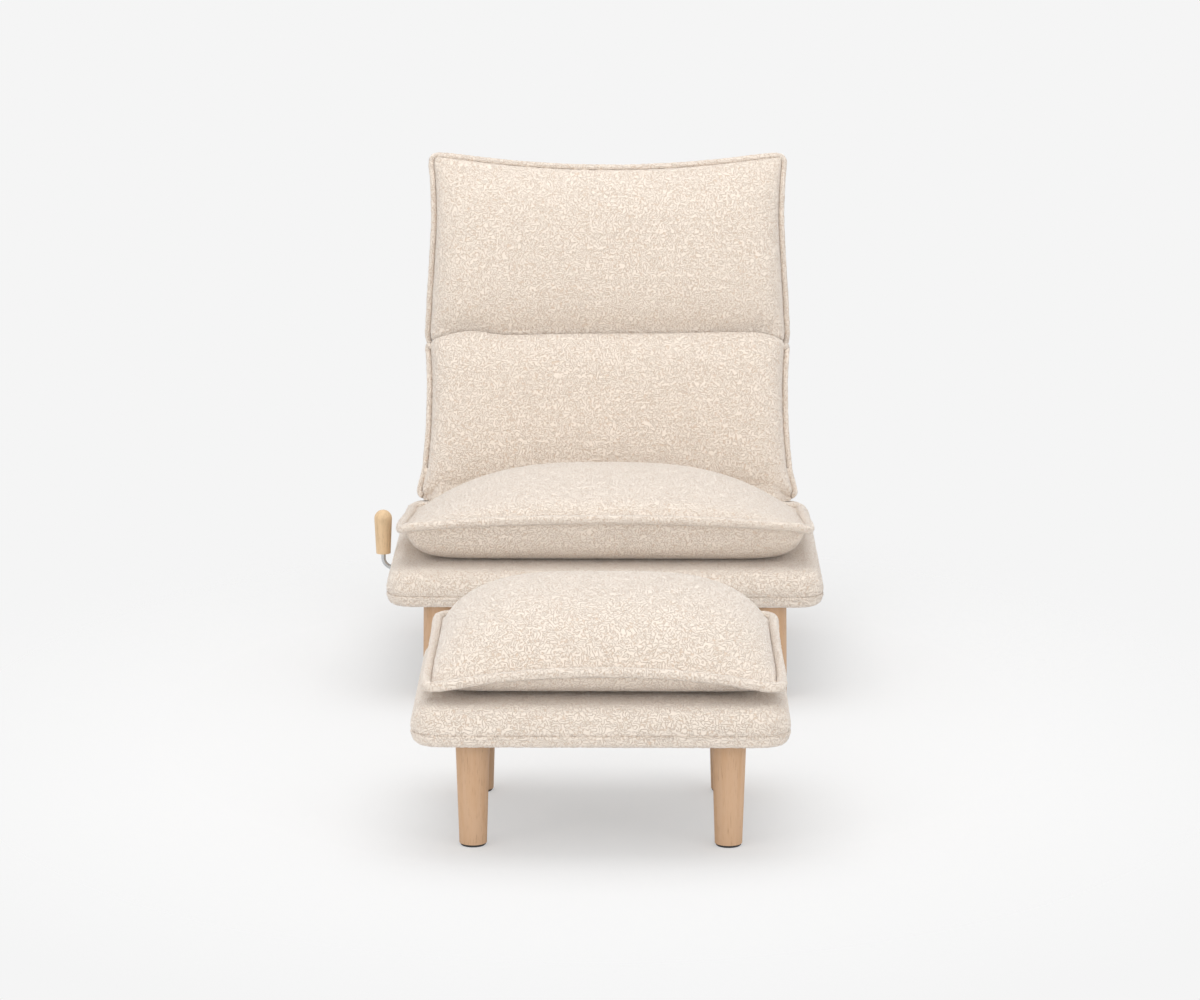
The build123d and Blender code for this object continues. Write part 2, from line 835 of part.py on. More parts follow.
def lever_grip():
    """A turned wooden grip, round at the top and drilled for the rod."""
    waist = grip_length - grip_top_radius
    profile = make_face([
        Line((0, 0), (grip_bottom_radius, 0)),
        Line((grip_bottom_radius, 0), (grip_top_radius, waist)),
        ThreePointArc(
            (grip_top_radius, waist),
            (grip_top_radius * math.sqrt(0.5), waist + grip_top_radius * math.sqrt(0.5)),
            (0, grip_length),
        ),
        Line((0, grip_length), (0, 0)),
    ])
    grip = revolve(Plane.XZ * profile, Axis.Z)
    grip -= Cylinder(
        lever_rod_radius + bolt_gap, grip_hole_depth + bolt_gap,
        align=(Align.CENTER, Align.CENTER, Align.MIN),
    )
    return Pos(grip_x, lever_y, grip_bottom) * grip


def crank(y, z, shaft_radius):
    """A flat crank on its shaft, with the headed pin that the link hangs on."""
    pin_y, pin_z = y + crank_y, z + crank_z
    outline = hull_outline(
        disc_outline(crank_hub_radius, y, z), disc_outline(crank_eye_radius, pin_y, pin_z),
    )
    outline -= disc_outline(shaft_radius + bolt_gap, y, z)
    shape = side_plate(outline, -crank_outer, -crank_inner)
    pin_end = -(link_inner - running_gap)
    shape += round_bar(link_pin_radius, -crank_inner, pin_end, pin_y, pin_z)
    return shape + round_bar(pin_head_radius, pin_end, pin_end + pin_head_height, pin_y, pin_z)


def lever_crank():
    return crank(lever_y, lever_height, lever_rod_radius)


def release_crank():
    return crank(hinge_y, hinge_height, release_shaft_radius)


def release_link():
    """A flat link, level under the seat and bent up to the hinge."""
    front = (lever_y + crank_y, lever_height + crank_z)
    bend = (link_bend_y, lever_height + crank_z)
    rear = (hinge_y + crank_y, hinge_height + crank_z)
    outline = disc_outline(link_eye_radius, *front) + disc_outline(link_eye_radius, *rear)
    for start, end in ((front, bend), (bend, rear)):
        ends = [disc_outline(link_width / 2, *place) for place in (start, end)]
        outline += hull_outline(*ends)
    for place in (front, rear):
        outline -= disc_outline(link_pin_radius + pin_gap, *place)
    return side_plate(outline, -link_outer, -link_inner)


def release_shaft():
    return round_bar(release_shaft_radius, -rail_inner, rail_inner, hinge_y, hinge_height)


def lever_bush():
    """A flanged bush in the left side rail."""
    bore = lever_rod_radius + running_gap
    outer = bore + lever_bush_wall - bolt_gap
    flange = -rail_inner + lever_bush_wall
    shape = round_bar(outer, -frame_half_width, flange, lever_y, lever_height)
    shape += round_bar(outer + lever_bush_flange, -rail_inner, flange, lever_y, lever_height)
    return shape - round_bar(bore, -chair_pad_width, 0, lever_y, lever_height)


def return_spring():
    """A torsion spring round the lever rod, its two legs straight."""
    radius = lever_rod_radius + running_gap + 2 * spring_wire_radius

    def on_coil(quarters):
        turn = math.pi / 2 * quarters
        return (spring_pitch * quarters / 4, radius * math.cos(turn), radius * math.sin(turn))

    end = 4 * spring_turns
    path = [Line((0, radius, -spring_leg), on_coil(0))]
    for quarters in range(0, end, 2):
        path.append(ThreePointArc(*(on_coil(quarters + step) for step in range(3))))
    path.append(Line(on_coil(end), (spring_pitch * spring_turns, radius, spring_leg)))
    course = Wire([edge for part in path for edge in part.edges()])
    start = Plane(origin=(0, radius, -spring_leg), z_dir=(0, 0, 1))
    wire = sweep(start * Circle(spring_wire_radius), path=course)
    seat = -rail_inner + lever_bush_wall + 2 * spring_wire_radius
    return Pos(seat, lever_y, lever_height) * wire


# Every node of the set

def chair_nodes():
    places = chair_leg_places()
    nodes = {
        "seat_front_rail": seat_front_rail(),
        "seat_rear_rail": seat_rear_rail(),
        "seat_corner_blocks": corner_blocks((rail_inner, plate_inner), frame_front, frame_rear, places),
        "seat_webbing": seat_webbing(),
        "seat_pad": seat_pad(),
        "seat_dust_cover": dust_cover(frame_half_width, frame_front, frame_rear, places),
        "seat_cushion": seat_cushion(),
        "chair_leg_plates": leg_plates(places),
        "chair_leg_bolts": leg_bolts(places),
        "chair_glides": glides(foot_places(places, chair_leg_splay_angle)),
        "lever_bush": lever_bush(),
        "lever_spring": return_spring(),
    }
    for name, shape in pair(seat_side_rail).items():
        nodes[f"seat_{name}_rail"] = shape
    for name, shape in pair(hinge_plate).items():
        nodes[f"hinge_plate_{name}"] = shape
    for name, shape in pair(recliner_disc).items():
        nodes[f"recliner_disc_{name}"] = shape
    corner_names = ("front_left", "front_right", "rear_left", "rear_right")
    for name, shape in zip(corner_names, legs(places, chair_leg_splay_angle)):
        nodes[f"chair_leg_{name}"] = shape
    return nodes


def back_nodes():
    nodes = {
        "back_frame": back_frame(),
        "back_webbing": back_webbing(),
        "lower_back_cushion": lower_back_cushion(),
        "lower_back_panel": lower_back_panel(),
        "ratchet_pins": ratchet_pins(),
        "head_frame": head_frame(),
        "head_webbing": head_webbing(),
        "head_cushion": head_cushion(),
        "head_panel": head_panel(),
    }
    for name, shape in pair(swing_arm).items():
        nodes[f"swing_arm_{name}"] = shape
    for name, shape in pair(lower_ratchet).items():
        nodes[f"lower_ratchet_{name}"] = shape
    for name, shape in pair(upper_ratchet).items():
        nodes[f"upper_ratchet_{name}"] = shape
    return nodes


def lever_nodes():
    return {
        "lever_rod": lever_rod(),
        "lever_grip": lever_grip(),
        "lever_crank": lever_crank(),
        "release_link": release_link(),
        "release_shaft": release_shaft(),
        "release_crank": release_crank(),
    }


def ottoman_nodes():
    places = ottoman_leg_places()
    half = ottoman_half_width - rail_thickness
    nodes = {
        "ottoman_long_rails": ottoman_long_rails(),
        "ottoman_cross_rails": ottoman_cross_rails(),
        "ottoman_corner_blocks": corner_blocks(
            (half, half), ottoman_frame_front, ottoman_frame_rear, places,
        ),
        "ottoman_deck": ottoman_deck(),
        "ottoman_pad": ottoman_pad(),
        "ottoman_dust_cover": dust_cover(
            ottoman_half_width, ottoman_frame_front, ottoman_frame_rear, places,
        ),
        "ottoman_cushion": ottoman_cushion(),
        "ottoman_leg_plates": leg_plates(places),
        "ottoman_leg_bolts": leg_bolts(places),
        "ottoman_glides": glides(places),
    }
    corner_names = ("front_left", "front_right", "rear_left", "rear_right")
    for name, shape in zip(corner_names, legs(places, 0)):
        nodes[f"ottoman_leg_{name}"] = shape
    return nodes


def every_node():
    return {**chair_nodes(), **back_nodes(), **lever_nodes(), **ottoman_nodes()}


def main():
    os.makedirs("parts", exist_ok=True)
    for name, shape in every_node().items():
        export_step(to_footprint * shape, f"parts/{name}.step")


main()
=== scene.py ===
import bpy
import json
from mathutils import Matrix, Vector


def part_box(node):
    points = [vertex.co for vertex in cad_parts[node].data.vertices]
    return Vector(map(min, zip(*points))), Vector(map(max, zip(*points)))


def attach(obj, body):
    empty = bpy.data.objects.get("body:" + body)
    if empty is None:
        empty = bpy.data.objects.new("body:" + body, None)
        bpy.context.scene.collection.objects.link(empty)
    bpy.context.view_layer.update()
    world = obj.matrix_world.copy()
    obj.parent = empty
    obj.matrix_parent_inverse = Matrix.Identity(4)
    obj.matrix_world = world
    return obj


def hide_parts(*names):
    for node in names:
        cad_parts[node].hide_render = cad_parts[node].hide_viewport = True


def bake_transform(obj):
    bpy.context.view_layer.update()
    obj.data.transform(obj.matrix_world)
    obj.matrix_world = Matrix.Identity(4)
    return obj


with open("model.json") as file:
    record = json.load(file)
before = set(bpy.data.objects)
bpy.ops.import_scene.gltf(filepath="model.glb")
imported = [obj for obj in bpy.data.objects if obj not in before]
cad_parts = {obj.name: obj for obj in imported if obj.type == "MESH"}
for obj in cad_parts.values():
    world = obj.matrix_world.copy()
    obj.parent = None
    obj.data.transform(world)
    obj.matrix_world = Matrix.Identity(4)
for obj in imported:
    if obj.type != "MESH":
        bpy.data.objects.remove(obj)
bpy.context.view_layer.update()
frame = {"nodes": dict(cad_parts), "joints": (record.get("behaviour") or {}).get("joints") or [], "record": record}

import json
import math

import bmesh
import bpy
from bpy.props import FloatProperty, FloatVectorProperty, PointerProperty
from mathutils import Matrix, Vector, noise

bl_info = {
    "name": "Reclining lounge chair",
    "version": (1, 0, 0),
    "blender": (4, 5, 0),
    "location": "View3D > Sidebar > Lounge chair",
    "description":
        "Dresses a reclining lounge chair and its ottoman in looped cloth, oak and steel",
    "category": "Object",
}

NODES = frame["nodes"]
JOINTS = {joint["name"]: joint for joint in frame["joints"]}
SLOT_OF_NODE = {part["node"]: part["material_slot"] for part in frame["record"]["subparts"]}

PAD_LOW, PAD_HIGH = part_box("seat_pad")
MIDDLE_X = (PAD_LOW.x + PAD_HIGH.x) / 2
PAD_TOP = PAD_HIGH.z
BACK_HINGE = Vector(JOINTS["back_recline"]["pos_m"])
HEAD_HINGE = Vector(JOINTS["headrest_tilt"]["pos_m"])
BACK_LEAN = math.atan2(HEAD_HINGE.y - BACK_HINGE.y, HEAD_HINGE.z - BACK_HINGE.z)
HEAD_LEAN = math.radians(10)
BACK_LENGTH = (HEAD_HINGE - BACK_HINGE).length


# Sizes and colours that a user may change

class LoungeSizes(bpy.types.PropertyGroup):
    welt: FloatProperty(
        name="Welt", description="Thickness of the corded welts", default=0.0165, unit="LENGTH")
    back_welt: FloatProperty(
        name="Back welt", description="Thickness of the welts on the back", default=0.0115,
        unit="LENGTH")
    pile: FloatProperty(
        name="Pile", description="Height of the cloth's loops", default=0.0009, unit="LENGTH")
    loop: FloatProperty(
        name="Loop", description="Size of one loop of the cloth", default=0.0041, unit="LENGTH")
    spacing: FloatProperty(
        name="Mesh spacing", description="Distance between points before the last subdivision",
        default=0.0066, unit="LENGTH")
    swell: FloatProperty(
        name="Swell limit", description="How far the filling may push the cloth",
        default=0.006, unit="LENGTH")
    pressure: FloatProperty(
        name="Filling pressure", description="Pressure inside a cushion while it fills",
        default=4.0)
    seam_height: FloatProperty(
        name="Pad seam", description="Height of the pad's side seam above its underside",
        default=0.021, unit="LENGTH")


class LoungeColours(bpy.types.PropertyGroup):
    cloth: FloatVectorProperty(
        name="Cloth", description="Looped cloth where the light reaches it",
        subtype="COLOR", default=(0.85, 0.75, 0.65))
    # Painted shade: the cloth's darker, warmer colour in the hollows between its loops, where the shade falls
    cloth_shade: FloatVectorProperty(
        name="Cloth, deep", description="Looped cloth between its loops",
        subtype="COLOR", default=(0.60, 0.42, 0.29))
    oak: FloatVectorProperty(
        name="Oak", description="Oak of the legs", subtype="COLOR", default=(0.575, 0.375, 0.235))
    oak_dark: FloatVectorProperty(
        name="Oak, dark", description="Late wood in the oak", subtype="COLOR",
        default=(0.54, 0.33, 0.185))
    grip: FloatVectorProperty(
        name="Grip", description="Pale wood of the lever's grip", subtype="COLOR",
        default=(0.74, 0.53, 0.32))
    floor: FloatVectorProperty(
        name="Floor", description="Pale floor", subtype="COLOR", default=(0.83, 0.83, 0.83))


# Shader node groups that several materials share

def add_node(tree, kind, place, **settings):
    node = tree.nodes.new(kind)
    node.location = place
    for name, value in settings.items():
        setattr(node, name, value)
    return node


def new_group(name, rate_name, rate, outputs):
    """A group that takes a place and a rate: its tree, its two ends and the scaled place."""
    tree = bpy.data.node_groups.new(name, "ShaderNodeTree")
    tree.interface.new_socket(name="Vector", in_out="INPUT", socket_type="NodeSocketVector")
    socket = tree.interface.new_socket(
        name=rate_name, in_out="INPUT", socket_type="NodeSocketFloat")
    socket.default_value = rate
    for label in outputs:
        tree.interface.new_socket(name=label, in_out="OUTPUT", socket_type="NodeSocketFloat")
    start = add_node(tree, "NodeGroupInput", (-1000, 0))
    end = add_node(tree, "NodeGroupOutput", (1100, 0))
    scaled = add_node(tree, "ShaderNodeVectorMath", (-800, 0), operation="SCALE")
    tree.links.new(start.outputs["Vector"], scaled.inputs[0])
    tree.links.new(start.outputs[rate_name], scaled.inputs["Scale"])
    return tree, start, end, scaled.outputs[0]


def send(tree, end, **values):
    """Links each value to the group's output of that name."""
    for label, value in values.items():
        tree.links.new(value, end.inputs[label])


def math_node(tree, operation, place, first=None, second=None, clamp=False):
    node = add_node(tree, "ShaderNodeMath", place, operation=operation, use_clamp=clamp)
    for socket, value in zip(node.inputs, (first, second)):
        if isinstance(value, bpy.types.NodeSocket):
            tree.links.new(value, socket)
        elif value is not None:
            socket.default_value = value
    return node.outputs[0]


def range_node(tree, value, low, high, to_low, to_high, place):
    node = add_node(tree, "ShaderNodeMapRange", place)
    tree.links.new(value, node.inputs["Value"])
    labels = ("From Min", "From Max", "To Min", "To Max")
    for label, number in zip(labels, (low, high, to_low, to_high)):
        node.inputs[label].default_value = number
    return node.outputs["Result"]


def noise_node(tree, vector, scale, detail, place):
    node = add_node(tree, "ShaderNodeTexNoise", place)
    node.inputs["Scale"].default_value = scale
    node.inputs["Detail"].default_value = detail
    tree.links.new(vector, node.inputs["Vector"])
    return node


def stretched(tree, vector, scale, place):
    node = add_node(tree, "ShaderNodeMapping", place)
    node.inputs["Scale"].default_value = scale
    tree.links.new(vector, node.inputs["Vector"])
    return node.outputs[0]


def loop_pile_group():
    """Small curled loops: their height, a mask for the shade painted between them and a slow drift of tone."""
    tree, start, end, scaled = new_group(
        "Loop pile", "Loops per metre", 150.0, ("Height", "Between", "Drift"))
    stir = noise_node(tree, scaled, 0.45, 1.0, (-600, -200))
    centred = add_node(tree, "ShaderNodeVectorMath", (-420, -200), operation="SUBTRACT")
    centred.inputs[1].default_value = (0.5, 0.5, 0.5)
    tree.links.new(stir.outputs["Color"], centred.inputs[0])
    bent = add_node(tree, "ShaderNodeVectorMath", (-250, 0), operation="MULTIPLY_ADD")
    bent.inputs[1].default_value = (1.1, 1.1, 1.1)
    tree.links.new(centred.outputs[0], bent.inputs[0])
    tree.links.new(scaled, bent.inputs[2])
    course = noise_node(tree, bent.outputs[0], 0.95, 0.0, (-60, 0))
    middle = math_node(tree, "SUBTRACT", (120, 0), course.outputs["Fac"], 0.5)
    away = math_node(tree, "ABSOLUTE", (280, 0), middle)
    ridge = range_node(tree, away, 0.0, 0.09, 0.0, 0.8, (440, 0))
    fuzz = noise_node(tree, scaled, 2.6, 1.0, (-60, -300))
    fuzz_height = range_node(tree, fuzz.outputs["Fac"], 0.3, 0.7, 0.0, 0.2, (140, -300))
    height = math_node(tree, "ADD", (760, 0), ridge, fuzz_height)
    # Painted shade mask: high in the hollows between the loops, low on their tops
    painted_shade_between_loops = range_node(tree, height, 0.05, 0.85, 1.0, 0.0, (900, -100))
    drift = noise_node(tree, start.outputs["Vector"], 7.0, 3.0, (140, 300))
    send(tree, end, Height=height, Between=painted_shade_between_loops, Drift=drift.outputs["Fac"])
    return tree


def wood_grain_group():
    """Straight grain along Z: the tone of its rings, and its pores."""
    tree, _, end, scaled = new_group(
        "Wood grain", "Rings per metre", 90.0, ("Tone", "Pores"))
    drawn = stretched(tree, scaled, (1.0, 1.0, 0.06), (-600, 0))
    rings = noise_node(tree, drawn, 1.1, 5.0, (-400, 100))
    rings.inputs["Distortion"].default_value = 0.6
    lines = noise_node(tree, drawn, 9.0, 3.0, (-400, -200))
    tone = range_node(tree, rings.outputs["Fac"], 0.38, 0.66, 0.0, 1.0, (-150, 100))
    fine = range_node(tree, lines.outputs["Fac"], 0.35, 0.7, -0.35, 0.35, (-150, -200))
    tone = math_node(tree, "ADD", (100, 0), tone, fine, clamp=True)
    pores = range_node(tree, lines.outputs["Fac"], 0.62, 0.70, 0.0, 1.0, (100, -200))
    send(tree, end, Tone=tone, Pores=pores)
    return tree


def scuff_group():
    """Fine handling marks: a faint mottle and short scratches."""
    tree, _, end, scaled = new_group(
        "Scuffs", "Marks per metre", 120.0, ("Mottle", "Scratches"))
    mottle = noise_node(tree, scaled, 1.0, 4.0, (-400, 100))
    drawn = stretched(tree, scaled, (0.1, 4.0, 4.0), (-520, -200))
    strokes = noise_node(tree, drawn, 1.5, 2.0, (-300, -200))
    scratches = range_node(tree, strokes.outputs["Fac"], 0.35, 0.7, 0.0, 1.0, (0, -200))
    send(tree, end, Mottle=mottle.outputs["Fac"], Scratches=scratches)
    return tree


def weave_group():
    """A plain weave of flat yarns: its height and its tone."""
    tree, _, end, scaled = new_group(
        "Plain weave", "Yarns per metre", 700.0, ("Height", "Tone"))
    split = add_node(tree, "ShaderNodeSeparateXYZ", (-620, 0))
    tree.links.new(scaled, split.inputs[0])
    rise = math_node(tree, "ADD", (-440, -120), split.outputs["Y"], split.outputs["Z"])
    across = math_node(tree, "SINE", (-260, 60), math_node(
        tree, "MULTIPLY", (-440, 60), split.outputs["X"], math.pi))
    along = math_node(tree, "SINE", (-260, -120), math_node(
        tree, "MULTIPLY", (-350, -240), rise, math.pi))
    height = math_node(tree, "MULTIPLY", (-60, 0), across, along)
    height = range_node(tree, height, -1.0, 1.0, 0.0, 1.0, (120, 0))
    fleck = noise_node(tree, scaled, 0.15, 4.0, (-60, -300))
    send(tree, end, Height=height, Tone=fleck.outputs["Fac"])
    return tree


def shared_group(name):
    makers = {
        "Loop pile": loop_pile_group, "Wood grain": wood_grain_group,
        "Scuffs": scuff_group, "Plain weave": weave_group,
    }
    return bpy.data.node_groups.get(name) or makers[name]()


# Materials

def start_material(name, group_name, rate_name, rate):
    """A material with one shared group fed from the piece's own coordinates."""
    material = bpy.data.materials.new(name)
    material.use_nodes = True
    tree = material.node_tree
    shader = tree.nodes["Principled BSDF"]
    place = add_node(tree, "ShaderNodeTexCoord", (-1020, 0))
    group = add_node(tree, "ShaderNodeGroup", (-820, 0), node_tree=shared_group(group_name))
    tree.links.new(place.outputs["Object"], group.inputs["Vector"])
    group.inputs[rate_name].default_value = rate
    return material, tree, shader, group


def two_colours(tree, share, first, second, place):
    """A mix of two colours, of which the first may come from another node."""
    node = add_node(tree, "ShaderNodeMix", place, data_type="RGBA")
    tree.links.new(share, node.inputs[0])
    if isinstance(first, bpy.types.NodeSocket):
        tree.links.new(first, node.inputs[6])
    else:
        node.inputs[6].default_value = (*first, 1.0)
    node.inputs[7].default_value = (*second, 1.0)
    return node.outputs[2]


def two_shaders(tree, share, first, second, place):
    node = add_node(tree, "ShaderNodeMixShader", place)
    tree.links.new(share, node.inputs[0])
    tree.links.new(first.outputs[0], node.inputs[1])
    tree.links.new(second.outputs[0], node.inputs[2])
    return node


def darker(colour, share):
    return tuple(part * share for part in colour)


def bump(tree, shader, height, strength, distance):
    node = add_node(tree, "ShaderNodeBump", (-200, -400))
    node.inputs["Strength"].default_value = strength
    node.inputs["Distance"].default_value = distance
    tree.links.new(height, node.inputs["Height"])
    tree.links.new(node.outputs["Normal"], shader.inputs["Normal"])


def looped_cloth(colours, sizes):
    material, tree, shader, pile = start_material(
        "looped_cloth", "Loop pile", "Loops per metre", 1 / sizes.loop)
    # Painted shade: the cloth turns towards its shaded colour between the loops
    shade = range_node(tree, pile.outputs["Between"], 0.0, 1.0, 0.0, 0.68, (-560, 150))
    base = two_colours(tree, shade, colours.cloth, colours.cloth_shade, (-380, 200))
    drift = range_node(tree, pile.outputs["Drift"], 0.3, 0.7, 0.0, 0.15, (-560, 350))
    base = two_colours(tree, drift, base, darker(colours.cloth, 0.92), (-180, 250))
    tree.links.new(base, shader.inputs["Base Color"])
    rough = range_node(tree, pile.outputs["Height"], 0.0, 1.0, 1.0, 0.9, (-380, -100))
    tree.links.new(rough, shader.inputs["Roughness"])
    shader.inputs["Specular IOR Level"].default_value = 0.15
    shader.inputs["Sheen Weight"].default_value = 0.5
    shader.inputs["Sheen Roughness"].default_value = 0.5
    bump(tree, shader, pile.outputs["Height"], 1.0, 0.0014)
    return material


def oak(name, light, dark, rings):
    material, tree, shader, grain = start_material(name, "Wood grain", "Rings per metre", rings)
    tone = range_node(tree, grain.outputs["Tone"], 0.0, 1.0, 0.0, 0.7, (-560, 150))
    base = two_colours(tree, tone, light, dark, (-380, 200))
    pore = range_node(tree, grain.outputs["Pores"], 0.0, 1.0, 0.0, 0.45, (-560, -50))
    base = two_colours(tree, pore, base, darker(dark, 0.5), (-180, 200))
    tree.links.new(base, shader.inputs["Base Color"])
    rough = range_node(tree, grain.outputs["Tone"], 0.0, 1.0, 0.5, 0.62, (-380, -100))
    tree.links.new(rough, shader.inputs["Roughness"])
    shader.inputs["Specular IOR Level"].default_value = 0.35
    height = math_node(tree, "SUBTRACT", (-380, -300), 1.0, grain.outputs["Pores"])
    bump(tree, shader, height, 0.35, 0.0004)
    return material


def metal(name, colour, metallic, low_rough, high_rough, marks):
    material, tree, shader, scuffs = start_material(name, "Scuffs", "Marks per metre", marks)
    shade = range_node(tree, scuffs.outputs["Mottle"], 0.3, 0.7, 0.0, 0.35, (-560, 150))
    base = two_colours(tree, shade, colour, darker(colour, 0.7), (-380, 200))
    tree.links.new(base, shader.inputs["Base Color"])
    shader.inputs["Metallic"].default_value = metallic
    rough = range_node(
        tree, scuffs.outputs["Scratches"], 0.0, 1.0, low_rough, high_rough, (-380, -100))
    tree.links.new(rough, shader.inputs["Roughness"])
    bump(tree, shader, scuffs.outputs["Mottle"], 0.15, 0.0003)
    return material


def woven(name, colour, yarns, strength):
    material, tree, shader, weave = start_material(name, "Plain weave", "Yarns per metre", yarns)
    shade = range_node(tree, weave.outputs["Height"], 0.0, 1.0, 0.5, 0.0, (-560, 150))
    base = two_colours(tree, shade, colour, darker(colour, 0.45), (-380, 200))
    fleck = range_node(tree, weave.outputs["Tone"], 0.35, 0.65, 0.0, 0.3, (-560, -100))
    base = two_colours(tree, fleck, base, darker(colour, 0.7), (-180, 200))
    tree.links.new(base, shader.inputs["Base Color"])
    shader.inputs["Roughness"].default_value = 0.9
    bump(tree, shader, weave.outputs["Height"], strength, 0.0005)
    return material


def all_materials(context):
    """Every finish, once, by the record's slot name."""
    colours, sizes = context.scene.lounge_colours, context.scene.lounge_sizes
    if "looped_cloth" not in bpy.data.materials:
        looped_cloth(colours, sizes)
        oak("leg_oak", colours.oak, colours.oak_dark, 90.0)
        oak("grip_wood", colours.grip, darker(colours.grip, 0.78), 140.0)
        oak("planed_softwood", (0.66, 0.47, 0.27), (0.52, 0.33, 0.17), 60.0)
        metal("black_powder_coat", (0.03, 0.03, 0.032), 0.0, 0.42, 0.55, 900.0)
        metal("zinc_plate", (0.55, 0.56, 0.57), 1.0, 0.25, 0.45, 160.0)
        metal("moulded_nylon", (0.74, 0.74, 0.70), 0.0, 0.4, 0.5, 300.0)
        metal("glide_plastic", (0.025, 0.025, 0.025), 0.0, 0.5, 0.65, 400.0)
        woven("lining_cloth", (0.035, 0.035, 0.037), 900.0, 0.5)
        woven("elastic_web", (0.16, 0.16, 0.17), 420.0, 0.8)
    find = bpy.data.materials.get
    return {
        "oak": find("leg_oak"), "frame_wood": find("planed_softwood"),
        "boucle": find("looped_cloth"), "lining": find("lining_cloth"),
        "webbing": find("elastic_web"),
        "black_steel": find("black_powder_coat"), "zinc_steel": find("zinc_plate"),
        "nylon": find("moulded_nylon"), "glide": find("glide_plastic"), "grip": find("grip_wood"),
    }


# Tables of sections, and smooth values between them

def between(rows, place):
    """The row's values at a place, on a smooth curve through the table."""
    place = min(max(place, rows[0][0]), rows[-1][0])
    number = 0
    while number < len(rows) - 2 and place > rows[number + 1][0]:
        number += 1
    before, low = rows[max(number - 1, 0)], rows[number]
    high, after = rows[number + 1], rows[min(number + 2, len(rows) - 1)]
    span = high[0] - low[0]
    t = (place - low[0]) / span
    values = []
    for a, b, c, d in zip(before[1:], low[1:], high[1:], after[1:]):
        rise_in = (c - a) / (high[0] - before[0]) * span
        rise_out = (d - b) / (after[0] - low[0]) * span
        values.append(
            (2 * t ** 3 - 3 * t ** 2 + 1) * b + (t ** 3 - 2 * t ** 2 + t) * rise_in
            + (-2 * t ** 3 + 3 * t ** 2) * c + (t ** 3 - t ** 2) * rise_out)
    return values


def smooth(value, low, high):
    t = min(max((value - low) / (high - low), 0.0), 1.0)
    return t * t * (3 - 2 * t)


def mix(a, b, t):
    return a + (b - a) * t


def rounded(u, v, power):
    """Draws the corners of a square in, without moving the middles of its sides."""
    if abs(u) < 1e-6 or abs(v) < 1e-6:
        return u, v
    reach = max(abs(u), abs(v))
    share = reach / (abs(u) ** power + abs(v) ** power) ** (1 / power)
    share = mix(1.0, share, reach ** 6)
    return u * share, v * share


def crowded(value):
    """Draws points from -1 to 1 closer together near both ends."""
    return mix(value, math.sin(value * math.pi / 2), 0.5)


# Building and filling cushions

FILL_FRAMES = 20
WELT_STEP = 0.004
SAME_POINT = 0.00005


def rim_verts(mesh):
    """The points of both faces that lie on a flat cushion's rim."""
    mesh.verts.index_update()
    return [
        vert.index for vert in mesh.verts if max(abs(vert.co.x), abs(vert.co.y)) > 0.9999]


def two_sided(width, depth, spacing):
    """Two grids joined round their rims, flat, from -1 to 1 each way."""
    mesh = bmesh.new()
    columns, rows = round(width / spacing), round(depth / spacing)
    bmesh.ops.create_grid(mesh, x_segments=columns, y_segments=rows, size=1.0)
    front = list(mesh.verts)
    rear = bmesh.ops.duplicate(mesh, geom=mesh.verts[:] + mesh.edges[:] + mesh.faces[:])["geom"]
    rear_faces = [piece for piece in rear if isinstance(piece, bmesh.types.BMFace)]
    rear_verts = [piece for piece in rear if isinstance(piece, bmesh.types.BMVert)]
    bmesh.ops.reverse_faces(mesh, faces=rear_faces)
    bmesh.ops.translate(mesh, verts=rear_verts, vec=(0, 0, -0.1))
    bmesh.ops.bridge_loops(mesh, edges=[edge for edge in mesh.edges if edge.is_boundary])
    return mesh, front, rear_verts


def shaped(mesh, front, rear, form):
    """Moves each point of the two grids to its place on the cushion."""
    for verts, face in ((front, 1), (rear, -1)):
        for vert in verts:
            vert.co = form(vert.co.x, vert.co.y, face)
    bmesh.ops.recalc_face_normals(mesh, faces=mesh.faces)


def finished_object(name, mesh):
    data = bpy.data.meshes.new(name)
    mesh.to_mesh(data)
    mesh.free()
    piece = bpy.data.objects.new(name, data)
    bpy.context.scene.collection.objects.link(piece)
    return piece


def evaluated(piece):
    """A new mesh with what the piece's curve or modifiers give."""
    bpy.context.view_layer.update()
    graph = bpy.context.evaluated_depsgraph_get()
    return bpy.data.meshes.new_from_object(piece.evaluated_get(graph))


def baked(piece):
    """Puts the result of the piece's modifiers into its mesh."""
    data, old = evaluated(piece), piece.data
    piece.modifiers.clear()
    piece.data = data
    data.name = piece.name
    bpy.data.meshes.remove(old)


def fill(piece, pinned, sizes, keep):
    """Fills the cushion as cloth under pressure, held at its seams."""
    scene = bpy.context.scene
    start = [vert.co.copy() for vert in piece.data.vertices]
    held = piece.vertex_groups.new(name="seam")
    held.add(pinned, 1.0, "REPLACE")
    cloth = piece.modifiers.new("filling", "CLOTH")
    settings = cloth.settings
    settings.quality = 5
    settings.mass = 0.3
    settings.tension_stiffness = settings.compression_stiffness = 15.0
    settings.shear_stiffness = 5.0
    settings.bending_stiffness = 0.6
    settings.vertex_group_mass = "seam"
    settings.use_pressure = True
    settings.uniform_pressure_force = sizes.pressure
    settings.shrink_min = -0.02
    settings.effector_weights.gravity = 0.0
    cloth.collision_settings.use_collision = False
    cloth.collision_settings.use_self_collision = False
    cloth.point_cache.frame_start = 1
    cloth.point_cache.frame_end = FILL_FRAMES
    for number in range(1, FILL_FRAMES + 1):
        scene.frame_set(number)
    baked(piece)
    scene.frame_set(1)
    piece.vertex_groups.clear()
    places = []
    for vert, first in zip(piece.data.vertices, start):
        move = vert.co - first
        if move.length > sizes.swell:
            move *= sizes.swell / move.length
        places.extend(keep(first + move))
    piece.data.vertices.foreach_set("co", places)


def subdivided(piece):
    step = piece.modifiers.new("smooth", "SUBSURF")
    step.levels = step.render_levels = 1
    baked(piece)


